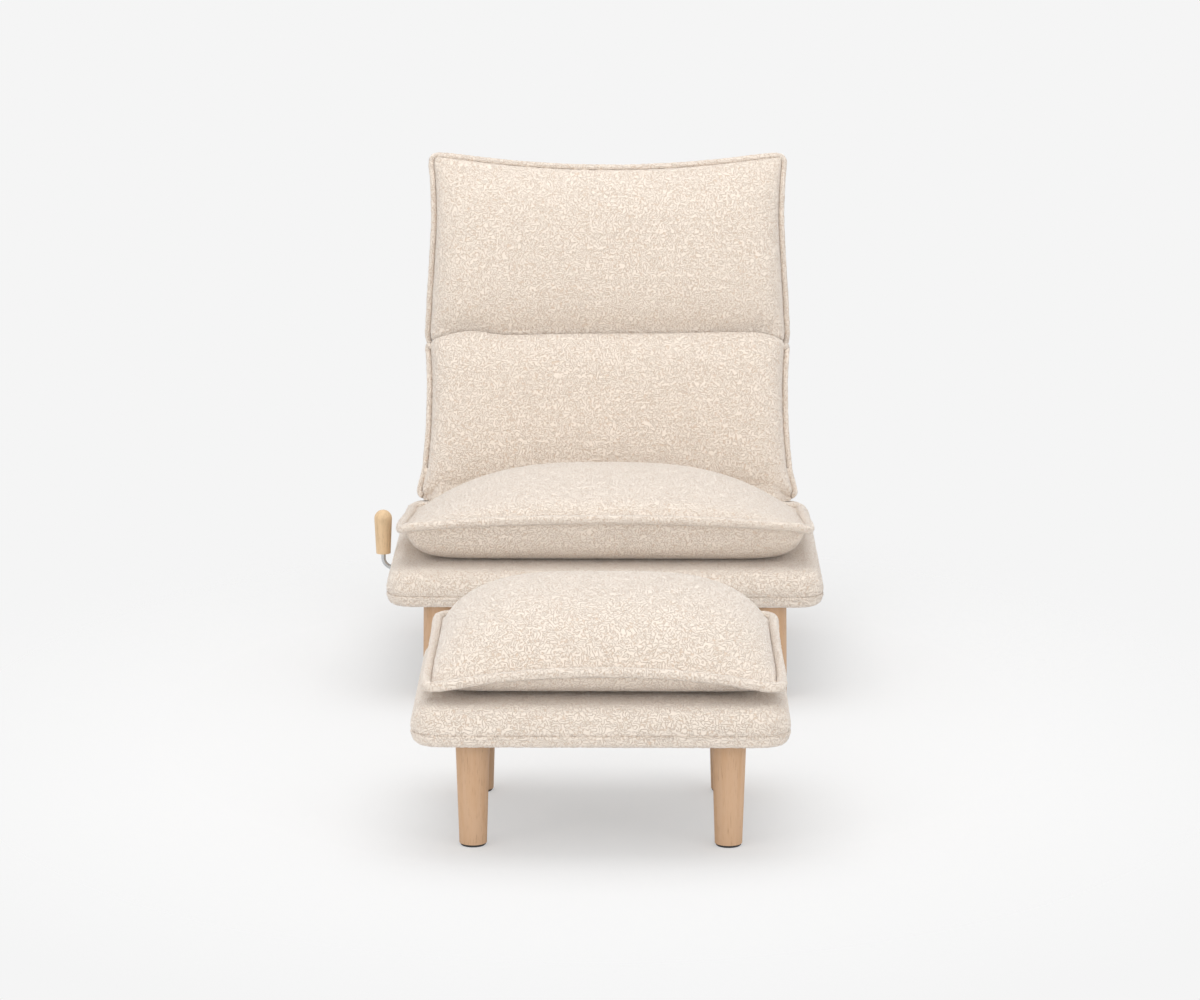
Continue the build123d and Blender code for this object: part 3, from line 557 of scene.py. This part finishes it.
def looped(piece, sizes, keep=None):
    """Raises the pile a little, so the outline is as uneven as the cloth's."""
    rate = 1 / sizes.loop
    places = []
    for vert in piece.data.vertices:
        place = vert.co * rate
        rise = noise.noise(place) + 0.5 * noise.noise(place * 2.1)
        moved = vert.co + vert.normal * rise * sizes.pile
        places.extend(keep(moved) if keep else moved)
    piece.data.vertices.foreach_set("co", places)
    for face in piece.data.polygons:
        face.use_smooth = True


def cushion(name, width, depth, spacing, form, sizes, keep=None):
    """A closed piece in the form's shape, filled if it has room that it is kept in."""
    mesh, front, rear = two_sided(width, depth, spacing)
    rim = rim_verts(mesh)
    if keep:
        shaped(mesh, front, rear, lambda u, v, face: keep(form(u, v, face)))
    else:
        shaped(mesh, front, rear, form)
    piece = finished_object(name, mesh)
    if keep:
        fill(piece, rim, sizes, keep)
    subdivided(piece)
    looped(piece, sizes, keep)
    return piece


def even_points(points, step, closed):
    """The same line with its points an even distance apart."""
    line = list(points) + ([points[0]] if closed else [])
    lengths = [(b - a).length for a, b in zip(line, line[1:])]
    total = sum(lengths)
    count = max(int(total / step), 2)
    result, walked, number = [], 0.0, 0
    for index in range(count if closed else count + 1):
        target = total * index / count
        while number < len(line) - 2 and walked + lengths[number] < target:
            walked += lengths[number]
            number += 1
        part = lengths[number]
        share = (target - walked) / part if part else 0.0
        result.append(line[number].lerp(line[number + 1], share))
    return result


def welt(name, line, sizes, closed, thickness, step=WELT_STEP):
    """A corded welt along a line."""
    points = even_points(line, step, closed)
    curve = bpy.data.curves.new(name, "CURVE")
    curve.dimensions = "3D"
    curve.bevel_depth = thickness / 2
    curve.bevel_resolution = 2
    curve.use_fill_caps = not closed
    spline = curve.splines.new("POLY")
    spline.points.add(len(points) - 1)
    for point, place in zip(spline.points, points):
        point.co = (*place, 1.0)
    spline.use_cyclic_u = closed
    piece = bpy.data.objects.new(name, curve)
    bpy.context.scene.collection.objects.link(piece)
    data = evaluated(piece)
    bpy.data.objects.remove(piece)
    mesh = bmesh.new()
    mesh.from_mesh(data)
    bpy.data.meshes.remove(data)
    bmesh.ops.remove_doubles(mesh, verts=mesh.verts, dist=SAME_POINT)
    bmesh.ops.recalc_face_normals(mesh, faces=mesh.faces)
    piece = finished_object(name, mesh)
    looped(piece, sizes)
    return piece


def joined(pieces, name):
    """Several meshes made one."""
    mesh = bmesh.new()
    for piece in pieces:
        mesh.from_mesh(piece.data)
        bpy.data.objects.remove(piece)
    piece = finished_object(name, mesh)
    for face in piece.data.polygons:
        face.use_smooth = True
    return piece


def square_ring(columns, rows):
    """Points once round a square from -1 to 1, from its lower left corner."""
    ring = [(-1 + 2 * number / columns, -1) for number in range(columns)]
    ring += [(1, -1 + 2 * number / rows) for number in range(rows)]
    ring += [(1 - 2 * number / columns, 1) for number in range(columns)]
    ring += [(-1, 1 - 2 * number / rows) for number in range(rows)]
    return ring


def rim_line(form, ring):
    """The line midway between a cushion's two faces, along its rim."""
    return [(form(u, v, 1) + form(u, v, -1)) / 2 for u, v in ring]


def covered(context, parts, body=None, place=None):
    """Puts the pieces in their place, in looped cloth, on the body they move with."""
    for part in parts:
        if place is not None:
            part.data.transform(place)
        part.data.materials.append(all_materials(context)["boucle"])
        if body:
            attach(part, body)


# Loose cushions of the seat and the ottoman

# Each row is a share of the length from the front, then the half width as a share of the
# cushion's, and the heights of the rim, the crown and the belly over the pad.
SEAT_ROWS = (
    (0.0, 0.966, 0.073, 0.0885, 0.0875),
    (0.012, 0.972, 0.072, 0.0925, 0.062),
    (0.025, 0.977, 0.071, 0.099, 0.040),
    (0.045, 0.980, 0.070, 0.107, 0.022),
    (0.075, 0.980, 0.069, 0.114, 0.011),
    (0.115, 0.980, 0.066, 0.119, 0.004),
    (0.17, 0.980, 0.062, 0.124, -0.001),
    (0.30, 0.978, 0.054, 0.132, -0.006),
    (0.50, 0.975, 0.042, 0.137, -0.010),
    (0.75, 0.975, 0.026, 0.117, -0.010),
    (0.93, 0.988, 0.013, 0.068, -0.005),
    (0.985, 0.992, 0.0095, 0.038, 0.001),
    (1.0, 0.988, 0.009, 0.026, 0.010),
)
STOOL_ROWS = (
    (0.0, 0.955, 0.023, 0.0515, 0.0505),
    (0.015, 0.962, 0.024, 0.057, 0.033),
    (0.03, 0.965, 0.025, 0.066, 0.024),
    (0.055, 0.967, 0.026, 0.083, 0.016),
    (0.095, 0.968, 0.027, 0.104, 0.010),
    (0.15, 0.968, 0.029, 0.122, 0.005),
    (0.24, 0.966, 0.032, 0.139, 0.001),
    (0.40, 0.960, 0.037, 0.152, -0.006),
    (0.60, 0.956, 0.041, 0.155, -0.008),
    (0.78, 0.957, 0.043, 0.135, -0.004),
    (0.92, 0.961, 0.045, 0.090, 0.016),
    (0.975, 0.960, 0.046, 0.064, 0.034),
    (1.0, 0.954, 0.046, 0.0535, 0.0445),
)
CORNER_POWER, SIDE_POWER, BELLY_POWER = 30, 2.2, 12
TOP_END_POWER, BELLY_END_POWER = 4, 26
WELT_LIP_SHARE = 0.96
PAD_CLEARANCE = 0.0006


def loose_form(rows, half, middle, start, length, power, fullness):
    """Where each point of a loose cushion lies, over the pad it rests on."""
    def form(u, v, face):
        u, v = rounded(crowded(u), crowded(v), CORNER_POWER)
        share = (v + 1) / 2
        wide, rim, crown, belly = between(rows, share)
        if face > 0:
            limit, end_power = crown, TOP_END_POWER
            full = max(1 - abs(u) ** power, 0.0) ** fullness
        else:
            limit, end_power = belly, BELLY_END_POWER
            full = math.sqrt(max(1 - abs(u) ** BELLY_POWER, 0.0))
        end = 1 - (2 * share - 1) ** end_power
        height = rim + (limit - rim) * mix(1 - abs(u) ** SIDE_POWER, full, end)
        return Vector((middle + u * half * wide, start + share * length, PAD_TOP + height))
    return form


def over_pad(place):
    return Vector((place.x, place.y, max(place.z, PAD_TOP + PAD_CLEARANCE)))


def loose_cushion(context, name, node, body, rows, power, fullness, aside, short, welt_name):
    """A cushion whose two faces meet just inside its welt, which stands out as a lip."""
    sizes = context.scene.lounge_sizes
    low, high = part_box(node)
    half, length = (high.x - low.x) / 2, high.y - low.y - short

    def sized(inset):
        return loose_form(
            rows, half + sizes.welt / 2 - inset, MIDDLE_X + aside, low.y + inset,
            length - 2 * inset, power, fullness)

    form, edge = sized(sizes.welt * WELT_LIP_SHARE), sized(sizes.welt / 2)
    piece = cushion(name, 2 * half, length, sizes.spacing, form, sizes, over_pad)
    cord = welt(welt_name, rim_line(edge, square_ring(80, 60)), sizes, True, sizes.welt)
    covered(context, (piece, cord), body)
    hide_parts(node)


class LOUNGE_OT_seat_cushion(bpy.types.Operator):
    """Makes the chair's loose seat cushion with its welt"""
    bl_idname = "lounge.seat_cushion"
    bl_label = "Seat cushion"

    def execute(self, context):
        loose_cushion(
            context, "seat_cushion_cover", "seat_cushion", "seat", SEAT_ROWS, power=2.9,
            fullness=1.0, aside=0.0, short=0.045, welt_name="seat_welt")
        return {"FINISHED"}


class LOUNGE_OT_ottoman_cushion(bpy.types.Operator):
    """Makes the ottoman's loose cushion with its welt"""
    bl_idname = "lounge.ottoman_cushion"
    bl_label = "Ottoman cushion"

    def execute(self, context):
        loose_cushion(
            context, "ottoman_cushion_cover", "ottoman_cushion", "ottoman", STOOL_ROWS,
            power=3.6, fullness=0.58, aside=0.005, short=0.0, welt_name="ottoman_welt")
        return {"FINISHED"}


# Upholstered pads

SIDE_SHARE = 0.30  # of the grid, turned down the pad's side
TURN_SHARE = 0.45  # of that, on the rounded edge
SEAM_TUCK = 0.0016
SIDE_BULGE = 0.0015
LEAST_CORNER = 0.004
PAD_WRAP = 0.1


def slab_form(low, high, seam, corner, top, bottom, swell=0.0):
    """A flat pad with rounded edges and a seam round its sides."""
    middle = (low + high) / 2
    half_x, half_y = (high.x - low.x) / 2, (high.y - low.y) / 2
    flat = 1 - SIDE_SHARE

    def form(u, v, face):
        reach = max(abs(u), abs(v))
        radius, edge = (top, high.z) if face > 0 else (bottom, low.z)
        if reach <= flat:
            inset, spread, height = radius, reach / flat, edge
            if face < 0:
                height -= swell * (1 - (u / flat) ** 4) * (1 - (v / flat) ** 4)
        else:
            spread = 1.0
            t = (reach - flat) / SIDE_SHARE
            turn = min(t / TURN_SHARE, 1.0) * math.pi / 2
            straight = max(t - TURN_SHARE, 0.0) / (1 - TURN_SHARE)
            if t > TURN_SHARE:
                height = mix(edge - face * radius, seam, straight)
            else:
                height = edge - face * radius * (1 - math.cos(turn))
            inset = radius * (1 - math.sin(turn)) + SEAM_TUCK * smooth(straight, 0.9, 1.0)
            inset -= SIDE_BULGE * math.sin(straight * math.pi)
        a, b = (u / reach * spread, v / reach * spread) if reach else (0.0, 0.0)
        x, y = a * (half_x - inset), b * (half_y - inset)
        rest = max(corner - inset, LEAST_CORNER)
        over_x, over_y = abs(x) - (half_x - inset - rest), abs(y) - (half_y - inset - rest)
        if over_x > 0 and over_y > 0:
            share = max(over_x, over_y) / math.hypot(over_x, over_y)
            x = math.copysign(half_x - inset - rest + over_x * share, x)
            y = math.copysign(half_y - inset - rest + over_y * share, y)
        return Vector((middle.x + x, middle.y + y, height))
    return form


def pad_cover(context, name, node, body):
    sizes = context.scene.lounge_sizes
    low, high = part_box(node)
    form = slab_form(
        low, high, low.z + sizes.seam_height, corner=0.046, top=0.028, bottom=0.014)
    piece = cushion(
        name, high.x - low.x + PAD_WRAP, high.y - low.y + PAD_WRAP, sizes.spacing, form, sizes)
    covered(context, (piece,), body)
    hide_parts(node)


class LOUNGE_OT_seat_pad(bpy.types.Operator):
    """Makes the chair's upholstered base pad"""
    bl_idname = "lounge.seat_pad"
    bl_label = "Seat pad"

    def execute(self, context):
        pad_cover(context, "seat_pad_cover", "seat_pad", "seat")
        return {"FINISHED"}


class LOUNGE_OT_ottoman_pad(bpy.types.Operator):
    """Makes the ottoman's upholstered pad"""
    bl_idname = "lounge.ottoman_pad"
    bl_label = "Ottoman pad"

    def execute(self, context):
        pad_cover(context, "ottoman_pad_cover", "ottoman_pad", "ottoman")
        return {"FINISHED"}


# The two back sections, lying down with Y along them and Z towards the sitter

# Each row is a share of the way up the grid, then the half width, and Y and Z of the rim, of
# the front face and of the rear face.
BACK_ROWS = (
    (0.0, 0.360, -0.049, 0.004, -0.049, 0.006, -0.049, 0.002),
    (0.04, 0.360, -0.040, 0.005, -0.040, 0.028, -0.040, -0.027),
    (0.10, 0.354, -0.020, 0.005, -0.020, 0.043, -0.020, -0.043),
    (0.17, 0.348, 0.002, 0.005, 0.002, 0.049, 0.002, -0.0455),
    (0.25, 0.345, 0.030, 0.005, 0.030, 0.053, 0.030, -0.041),
    (0.38, 0.341, 0.080, 0.006, 0.080, 0.058, 0.080, -0.037),
    (0.60, 0.339, 0.160, 0.008, 0.160, 0.063, 0.160, -0.037),
    (0.70, 0.340, 0.196, 0.008, 0.196, 0.0645, 0.196, -0.037),
    (0.77, 0.341, 0.215, 0.008, 0.216, 0.063, 0.222, -0.038),
    (0.82, 0.342, 0.228, 0.008, 0.234, 0.0595, 0.240, -0.039),
    (0.86, 0.343, 0.237, 0.008, 0.248, 0.0545, 0.251, -0.038),
    (0.89, 0.343, 0.242, 0.008, 0.257, 0.0495, 0.247, -0.034),
    (0.915, 0.343, 0.246, 0.008, 0.2615, 0.0455, 0.238, -0.028),
    (0.94, 0.343, 0.248, 0.008, 0.255, 0.0425, 0.232, -0.018),
    (0.97, 0.343, 0.249, 0.008, 0.243, 0.036, 0.229, -0.004),
    (1.0, 0.343, 0.250, 0.008, 0.232, 0.018, 0.230, 0.014),
)
HEAD_ROWS = (
    (0.0, 0.344, -0.020, 0.006, -0.042, 0.008, -0.042, -0.006),
    (0.04, 0.344, -0.016, 0.006, -0.032, 0.027, -0.030, -0.031),
    (0.08, 0.344, -0.010, 0.006, -0.018, 0.0375, -0.014, -0.038),
    (0.12, 0.344, -0.003, 0.006, -0.006, 0.041, 0.0, -0.038),
    (0.155, 0.343, 0.005, 0.006, 0.004, 0.0445, 0.010, -0.036),
    (0.185, 0.343, 0.014, 0.006, 0.014, 0.0510, 0.018, -0.035),
    (0.22, 0.342, 0.026, 0.006, 0.026, 0.0575, 0.028, -0.034),
    (0.26, 0.341, 0.042, 0.006, 0.042, 0.0625, 0.042, -0.034),
    (0.31, 0.340, 0.066, 0.006, 0.066, 0.0655, 0.066, -0.034),
    (0.40, 0.337, 0.110, 0.007, 0.110, 0.0660, 0.110, -0.034),
    (0.62, 0.332, 0.210, 0.007, 0.210, 0.056, 0.210, -0.034),
    (0.82, 0.334, 0.284, 0.006, 0.284, 0.038, 0.284, -0.027),
    (0.94, 0.338, 0.324, 0.005, 0.324, 0.020, 0.324, -0.014),
    (1.0, 0.339, 0.339, 0.005, 0.339, 0.009, 0.339, 0.001),
)
CREASE_WAVE = (
    (-1.0, 0.0), (-0.93, 0.001), (-0.76, 0.006), (-0.58, -0.003), (-0.3, -0.001), (0.0, 0.0),
    (0.4, 0.001), (0.84, 0.005), (0.94, 0.002), (1.0, 0.0),
)
SECTION_WIDTH, SECTION_WRAP = 0.70, 0.10
SECTION_CORNER_POWER, SECTION_SIDE_POWER = 20, 9
CREASE_REACH = 0.07
WELT_BED_SHARE = 0.42
FOOT_RADIUS = 0.0495
HEAD_RADIUS, HEAD_SIDE_RADIUS = 0.0432, 0.021
JOINT_GAP = 0.003
BACK_REAR, BACK_FRONT = -0.046, 0.068
HEAD_REAR, HEAD_FOOT_FRONT, HEAD_FRONT = -0.043, 0.048, 0.074


def stood_up(hinge, lean):
    """The move from the lying frame to the section's own place on the chair."""
    return Matrix.Translation((MIDDLE_X, hinge.y, hinge.z)) @ Matrix.Rotation(
        math.radians(90) - lean, 4, "X")


def section_form(rows, dip, crease_share, inset=0.0):
    """Where each point of a back section lies, before it stands up."""
    def form(u, v, face):
        u, v = rounded(crowded(u), v, SECTION_CORNER_POWER)
        share = (v + 1) / 2
        wide, rim_y, rim_z, front_y, front_z, rear_y, rear_z = between(rows, share)
        edge = max(1 - abs(u) ** SECTION_SIDE_POWER, 0.0)
        lift = math.sqrt(edge) if face > 0 else edge ** 0.2
        y, z = (front_y, front_z) if face > 0 else (rear_y, rear_z)
        y, z = mix(rim_y, y, lift), mix(rim_z, z, lift)
        y -= dip * (1 - u * u) * smooth(share, 0.6, 1.0)
        if dip:
            y -= inset * smooth(share, 0.96, 1.0)
        if face > 0:
            near = math.exp(-((share - crease_share) / CREASE_REACH) ** 2)
            y += between(CREASE_WAVE, u)[0] * near
        return Vector((u * (wide - inset), y, z))
    return form


def head_radius(x):
    """The headrest's round lower end draws in towards its sides."""
    return mix(HEAD_RADIUS, HEAD_SIDE_RADIUS, smooth(abs(x), 0.285, 0.345))


def in_lower_back(place):
    """Keeps the lower section clear of the pad below and the headrest above."""
    x, y, z = place
    if y < 0:
        reach = math.hypot(y, z)
        if reach > FOOT_RADIUS:
            y, z = y * FOOT_RADIUS / reach, z * FOOT_RADIUS / reach
    from_head = math.hypot(y - BACK_LENGTH, z)
    room = head_radius(x) + JOINT_GAP
    if from_head < room:
        share = room / max(from_head, 0.001)
        y, z = BACK_LENGTH + (y - BACK_LENGTH) * share, z * share
    return Vector((x, y, min(max(z, BACK_REAR), BACK_FRONT)))


def in_head(place):
    """Keeps the headrest inside its round lower end."""
    x, y, z = place
    reach, limit = math.hypot(y, z), head_radius(x)
    if y < 0 and reach > limit:
        y, z = y * limit / reach, z * limit / reach
    front = mix(HEAD_FOOT_FRONT, HEAD_FRONT, smooth(y, 0.0, 0.05))
    return Vector((x, y, min(max(z, HEAD_REAR), front)))


def back_section(context, name, rows, dip, crease_share, keep):
    """One section's cover, still lying down, with its form for the welts."""
    sizes = context.scene.lounge_sizes
    form = section_form(rows, dip, crease_share, sizes.back_welt * WELT_BED_SHARE)
    length = rows[-1][2] - rows[0][2]
    piece = cushion(
        name, SECTION_WIDTH, length + SECTION_WRAP, sizes.spacing, form, sizes, keep)
    return piece, section_form(rows, dip, crease_share)


def dress_section(context, piece, cord, place, node, body):
    covered(context, (piece, cord), body, place)
    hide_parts(node)


class LOUNGE_OT_lower_back(bpy.types.Operator):
    """Makes the lower section of the back with its welts"""
    bl_idname = "lounge.lower_back"
    bl_label = "Lower back"

    def execute(self, context):
        sizes = context.scene.lounge_sizes
        piece, form = back_section(
            context, "lower_back_cover", BACK_ROWS, dip=0.0, crease_share=0.90,
            keep=in_lower_back)
        cords = []
        for side in (-1, 1):
            line = rim_line(form, [(side, -0.99 + 0.0198 * number) for number in range(101)])
            cords.append(welt(f"side_welt_{side + 2}", line, sizes, False, sizes.back_welt))
        cord = joined(cords, "lower_back_welt")
        place = stood_up(BACK_HINGE, BACK_LEAN)
        dress_section(context, piece, cord, place, "lower_back_cushion", "backrest")
        return {"FINISHED"}


class LOUNGE_OT_headrest(bpy.types.Operator):
    """Makes the headrest section with the welt round its sides and top"""
    bl_idname = "lounge.headrest"
    bl_label = "Headrest"

    def execute(self, context):
        piece, form = back_section(
            context, "headrest_cover", HEAD_ROWS, dip=0.028, crease_share=0.13, keep=in_head)
        steps = [0.0196 * number for number in range(100)]
        ring = [(-1, -0.96 + step) for step in steps]
        ring += [(number / 50 - 1, 1) for number in range(101)]
        ring += [(1, 0.98 - step) for step in steps]
        sizes = context.scene.lounge_sizes
        cord = welt("headrest_welt", rim_line(form, ring), sizes, False, sizes.back_welt)
        place = stood_up(HEAD_HINGE, HEAD_LEAN)
        dress_section(context, piece, cord, place, "head_cushion", "headrest")
        return {"FINISHED"}


PANEL_INWARD = 0.014  # so that its edges sink into the section
PANEL_SEAM, PANEL_SPACING_SHARE, PANEL_POINTS = 0.006, 1.2, 60
PANEL_WELT_HEIGHT, PANEL_WELT_STEP, PANEL_WELT_SHARE = 0.0035, 0.005, 0.6


def rear_panel(context, name, node, hinge, lean, body):
    """The upholstered panel that closes the back of a section."""
    sizes = context.scene.lounge_sizes
    place = stood_up(hinge, lean)
    lying = [place.inverted() @ vert.co for vert in NODES[node].data.vertices]
    low = Vector([min(point[axis] for point in lying) for axis in range(3)])
    high = Vector([max(point[axis] for point in lying) for axis in range(3)])
    high.z += PANEL_INWARD
    form = slab_form(
        low, high, low.z + PANEL_SEAM, corner=0.022, top=0.002, bottom=0.005, swell=0.003)
    piece = cushion(
        name, high.x - low.x, high.y - low.y, sizes.spacing * PANEL_SPACING_SHARE, form, sizes)
    ring = square_ring(PANEL_POINTS, PANEL_POINTS)
    middle, half = (low + high) / 2, (high - low) / 2
    line = []
    for corner in ring[PANEL_POINTS:] + ring[:PANEL_POINTS]:
        u, v = rounded(*corner, CORNER_POWER)
        line.append(Vector((
            middle.x + u * half.x, middle.y + v * half.y, low.z + PANEL_WELT_HEIGHT)))
    cord = welt(
        f"{name}_welt", line, sizes, True, sizes.back_welt * PANEL_WELT_SHARE, PANEL_WELT_STEP)
    covered(context, (piece, cord), body, place)
    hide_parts(node)


class LOUNGE_OT_rear_panels(bpy.types.Operator):
    """Makes the panels on the back of both sections"""
    bl_idname = "lounge.rear_panels"
    bl_label = "Rear panels"

    def execute(self, context):
        rear_panel(
            context, "lower_back_rear", "lower_back_panel", BACK_HINGE, BACK_LEAN, "backrest")
        rear_panel(context, "headrest_rear", "head_panel", HEAD_HINGE, HEAD_LEAN, "headrest")
        return {"FINISHED"}


# Each row is a share of the way up the gusset, then Y and Z from the back's hinge.
GUSSET_PATH = (
    (0.0, -0.0600, -0.0505), (0.08, -0.0590, -0.0465), (0.3, -0.0530, -0.0325),
    (0.5, -0.0478, -0.0215), (0.66, -0.0448, -0.0120), (0.82, -0.0427, -0.0020),
    (1.0, -0.0392, 0.0100),
)
GUSSET_HALF, GUSSET_HEIGHT, GUSSET_THICKNESS = 0.35, 0.06, 0.0022
GUSSET_CURVE, GUSSET_RETURN = 0.009, 0.03


class LOUNGE_OT_hinge_gusset(bpy.types.Operator):
    """Makes the cloth that joins the back's foot to the seat pad"""
    bl_idname = "lounge.hinge_gusset"
    bl_label = "Hinge gusset"

    def execute(self, context):
        sizes = context.scene.lounge_sizes

        def form(u, v, face):
            share = (v + 1) / 2
            y, z = between(GUSSET_PATH, share)
            y += GUSSET_CURVE * abs(u) ** 3 + GUSSET_RETURN * smooth(abs(u), 0.9, 1.0)
            thick = GUSSET_THICKNESS * face * (1 - u ** 12) * (1 - v ** 12)
            return Vector((
                MIDDLE_X + u * GUSSET_HALF, BACK_HINGE.y + y - thick, BACK_HINGE.z + z))

        piece = cushion(
            "hinge_gusset", 2 * GUSSET_HALF, GUSSET_HEIGHT, sizes.spacing, form, sizes)
        covered(context, (piece,))
        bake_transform(piece)
        return {"FINISHED"}


# Finishes of the parts that keep their own shape

class LOUNGE_OT_finishes(bpy.types.Operator):
    """Gives every remaining part its finish"""
    bl_idname = "lounge.finishes"
    bl_label = "Finishes"

    def execute(self, context):
        finishes = all_materials(context)
        for name, node in NODES.items():
            finish = finishes["grip" if name == "lever_grip" else SLOT_OF_NODE[name]]
            for slot in node.material_slots:
                slot.material = finish
        return {"FINISHED"}


# Camera, floor and light

CAMERA_LENS, CAMERA_ASIDE, CAMERA_AWAY, CAMERA_HEIGHT = 124.5, 0.05, 7.109, 1.843
CAMERA_TILT, CAMERA_TURN = math.radians(78.3), math.radians(0.47)
BACKDROP = (0.913, 0.913, 0.913, 1.0)
BACKDROP_SHARE = 0.42  # of the floor's look, where its own light and shade would be uneven
FLOOR_RADIUS = 8.0
FADE_STRETCH, FADE_START, FADE_END = (1.25, 1.0, 1.0), 0.95, 1.7
WORLD_LIGHT = 0.8
LAMP_AIM = Vector((0.0, 0.2, 0.4))
# Each row is a lamp's name, place, size and power.
LAMPS = (
    ("key_panel", (-1.6, -3.2, 3.4), 2.6, 11.0),
    ("fill_panel", (2.8, -2.9, 0.7), 1.5, 21.0),
    ("low_panel", (-2.8, -2.9, 0.6), 1.5, 20.0),
    ("front_panel", (0.0, -7.2, 1.9), 3.2, 44.0),
    ("top_panel", (0.0, 0.0, 3.6), 3.0, 52.0),
)


class LOUNGE_OT_stage(bpy.types.Operator):
    """Sets up the camera, the pale floor and soft light"""
    bl_idname = "lounge.stage"
    bl_label = "Stage"

    def execute(self, context):
        self.camera(context)
        self.floor(context)
        self.lights(context)
        return {"FINISHED"}

    def camera(self, context):
        data = bpy.data.cameras.new("camera")
        data.sensor_width = 36.0
        data.lens = CAMERA_LENS
        camera = bpy.data.objects.new("camera", data)
        camera.location = (MIDDLE_X + CAMERA_ASIDE, PAD_LOW.y - CAMERA_AWAY, CAMERA_HEIGHT)
        camera.rotation_euler = (CAMERA_TILT, 0.0, CAMERA_TURN)
        context.scene.collection.objects.link(camera)
        context.scene.camera = camera

    def floor(self, context):
        mesh = bmesh.new()
        bmesh.ops.create_circle(mesh, cap_ends=True, segments=96, radius=FLOOR_RADIUS)
        piece = finished_object("floor", mesh)
        material = bpy.data.materials.new("pale_floor")
        material.use_nodes = True
        tree = material.node_tree
        shader = tree.nodes["Principled BSDF"]
        shader.inputs["Base Color"].default_value = (*context.scene.lounge_colours.floor, 1.0)
        shader.inputs["Roughness"].default_value = 1.0
        shader.inputs["Specular IOR Level"].default_value = 0.0
        place = add_node(tree, "ShaderNodeTexCoord", (-1100, 300))
        oval = stretched(tree, place.outputs["Object"], FADE_STRETCH, (-900, 300))
        far = add_node(tree, "ShaderNodeVectorMath", (-700, 300), operation="LENGTH")
        tree.links.new(oval, far.inputs[0])
        fade = range_node(
            tree, far.outputs["Value"], FADE_START, FADE_END, 0.0, 1.0, (-500, 300))
        plain = add_node(tree, "ShaderNodeEmission", (-100, 120))
        plain.inputs["Color"].default_value = BACKDROP
        path = add_node(tree, "ShaderNodeLightPath", (-500, 0))
        seen = math_node(
            tree, "MULTIPLY", (-300, 0), path.outputs["Is Camera Ray"], BACKDROP_SHARE)
        soft = two_shaders(tree, seen, shader, plain, (50, 120))
        clear = add_node(tree, "ShaderNodeBsdfTransparent", (-100, 300))
        faded = two_shaders(tree, fade, soft, clear, (250, 300))
        tree.links.new(faded.outputs[0], tree.nodes["Material Output"].inputs["Surface"])
        piece.data.materials.append(material)

    def lights(self, context):
        world = context.scene.world or bpy.data.worlds.new("studio")
        context.scene.world = world
        world.use_nodes = True
        tree = world.node_tree
        tree.nodes.clear()
        out = add_node(tree, "ShaderNodeOutputWorld", (600, 0))
        seen = add_node(tree, "ShaderNodeBackground", (200, 100))
        seen.inputs["Color"].default_value = BACKDROP
        lit = add_node(tree, "ShaderNodeBackground", (200, -100))
        lit.inputs["Color"].default_value = (1.0, 1.0, 1.0, 1.0)
        lit.inputs["Strength"].default_value = WORLD_LIGHT
        path = add_node(tree, "ShaderNodeLightPath", (-400, 0))
        any_ray = math_node(
            tree, "MAXIMUM", (-200, 0), path.outputs["Is Camera Ray"],
            path.outputs["Is Glossy Ray"])
        any_ray = math_node(tree, "MAXIMUM", (0, 0), any_ray, path.outputs["Is Transmission Ray"])
        choose = two_shaders(tree, any_ray, lit, seen, (400, 0))
        tree.links.new(choose.outputs[0], out.inputs["Surface"])
        for name, place, size, power in LAMPS:
            data = bpy.data.lights.new(name, "AREA")
            data.shape = "SQUARE"
            data.size = size
            data.energy = power
            lamp = bpy.data.objects.new(name, data)
            lamp.location = place
            aim = LAMP_AIM - Vector(place)
            lamp.rotation_euler = aim.to_track_quat("-Z", "Y").to_euler()
            context.scene.collection.objects.link(lamp)


class LOUNGE_PT_panel(bpy.types.Panel):
    """Lists the pieces of the lounge chair"""
    bl_label = "Lounge chair"
    bl_idname = "LOUNGE_PT_panel"
    bl_space_type = "VIEW_3D"
    bl_region_type = "UI"
    bl_category = "Lounge chair"

    def draw(self, context):
        column = self.layout.column()
        for name in LoungeSizes.__annotations__:
            column.prop(context.scene.lounge_sizes, name)
        for name in LoungeColours.__annotations__:
            column.prop(context.scene.lounge_colours, name)
        for operator in OPERATORS:
            column.operator(operator.bl_idname)


OPERATORS = (
    LOUNGE_OT_stage, LOUNGE_OT_finishes, LOUNGE_OT_seat_pad, LOUNGE_OT_seat_cushion,
    LOUNGE_OT_lower_back, LOUNGE_OT_headrest, LOUNGE_OT_rear_panels, LOUNGE_OT_hinge_gusset,
    LOUNGE_OT_ottoman_pad, LOUNGE_OT_ottoman_cushion,
)
CLASSES = (LoungeSizes, LoungeColours, *OPERATORS, LOUNGE_PT_panel)


def register():
    for kind in CLASSES:
        bpy.utils.register_class(kind)
    bpy.types.Scene.lounge_sizes = PointerProperty(type=LoungeSizes)
    bpy.types.Scene.lounge_colours = PointerProperty(type=LoungeColours)


def unregister():
    del bpy.types.Scene.lounge_sizes
    del bpy.types.Scene.lounge_colours
    for kind in reversed(CLASSES):
        bpy.utils.unregister_class(kind)


def main():
    register()
    scene = bpy.context.scene
    scene.view_settings.view_transform = "Standard"
    for operator in OPERATORS:
        group, name = operator.bl_idname.split(".")
        getattr(getattr(bpy.ops, group), name)()


if __name__ == "__main__":
    main()
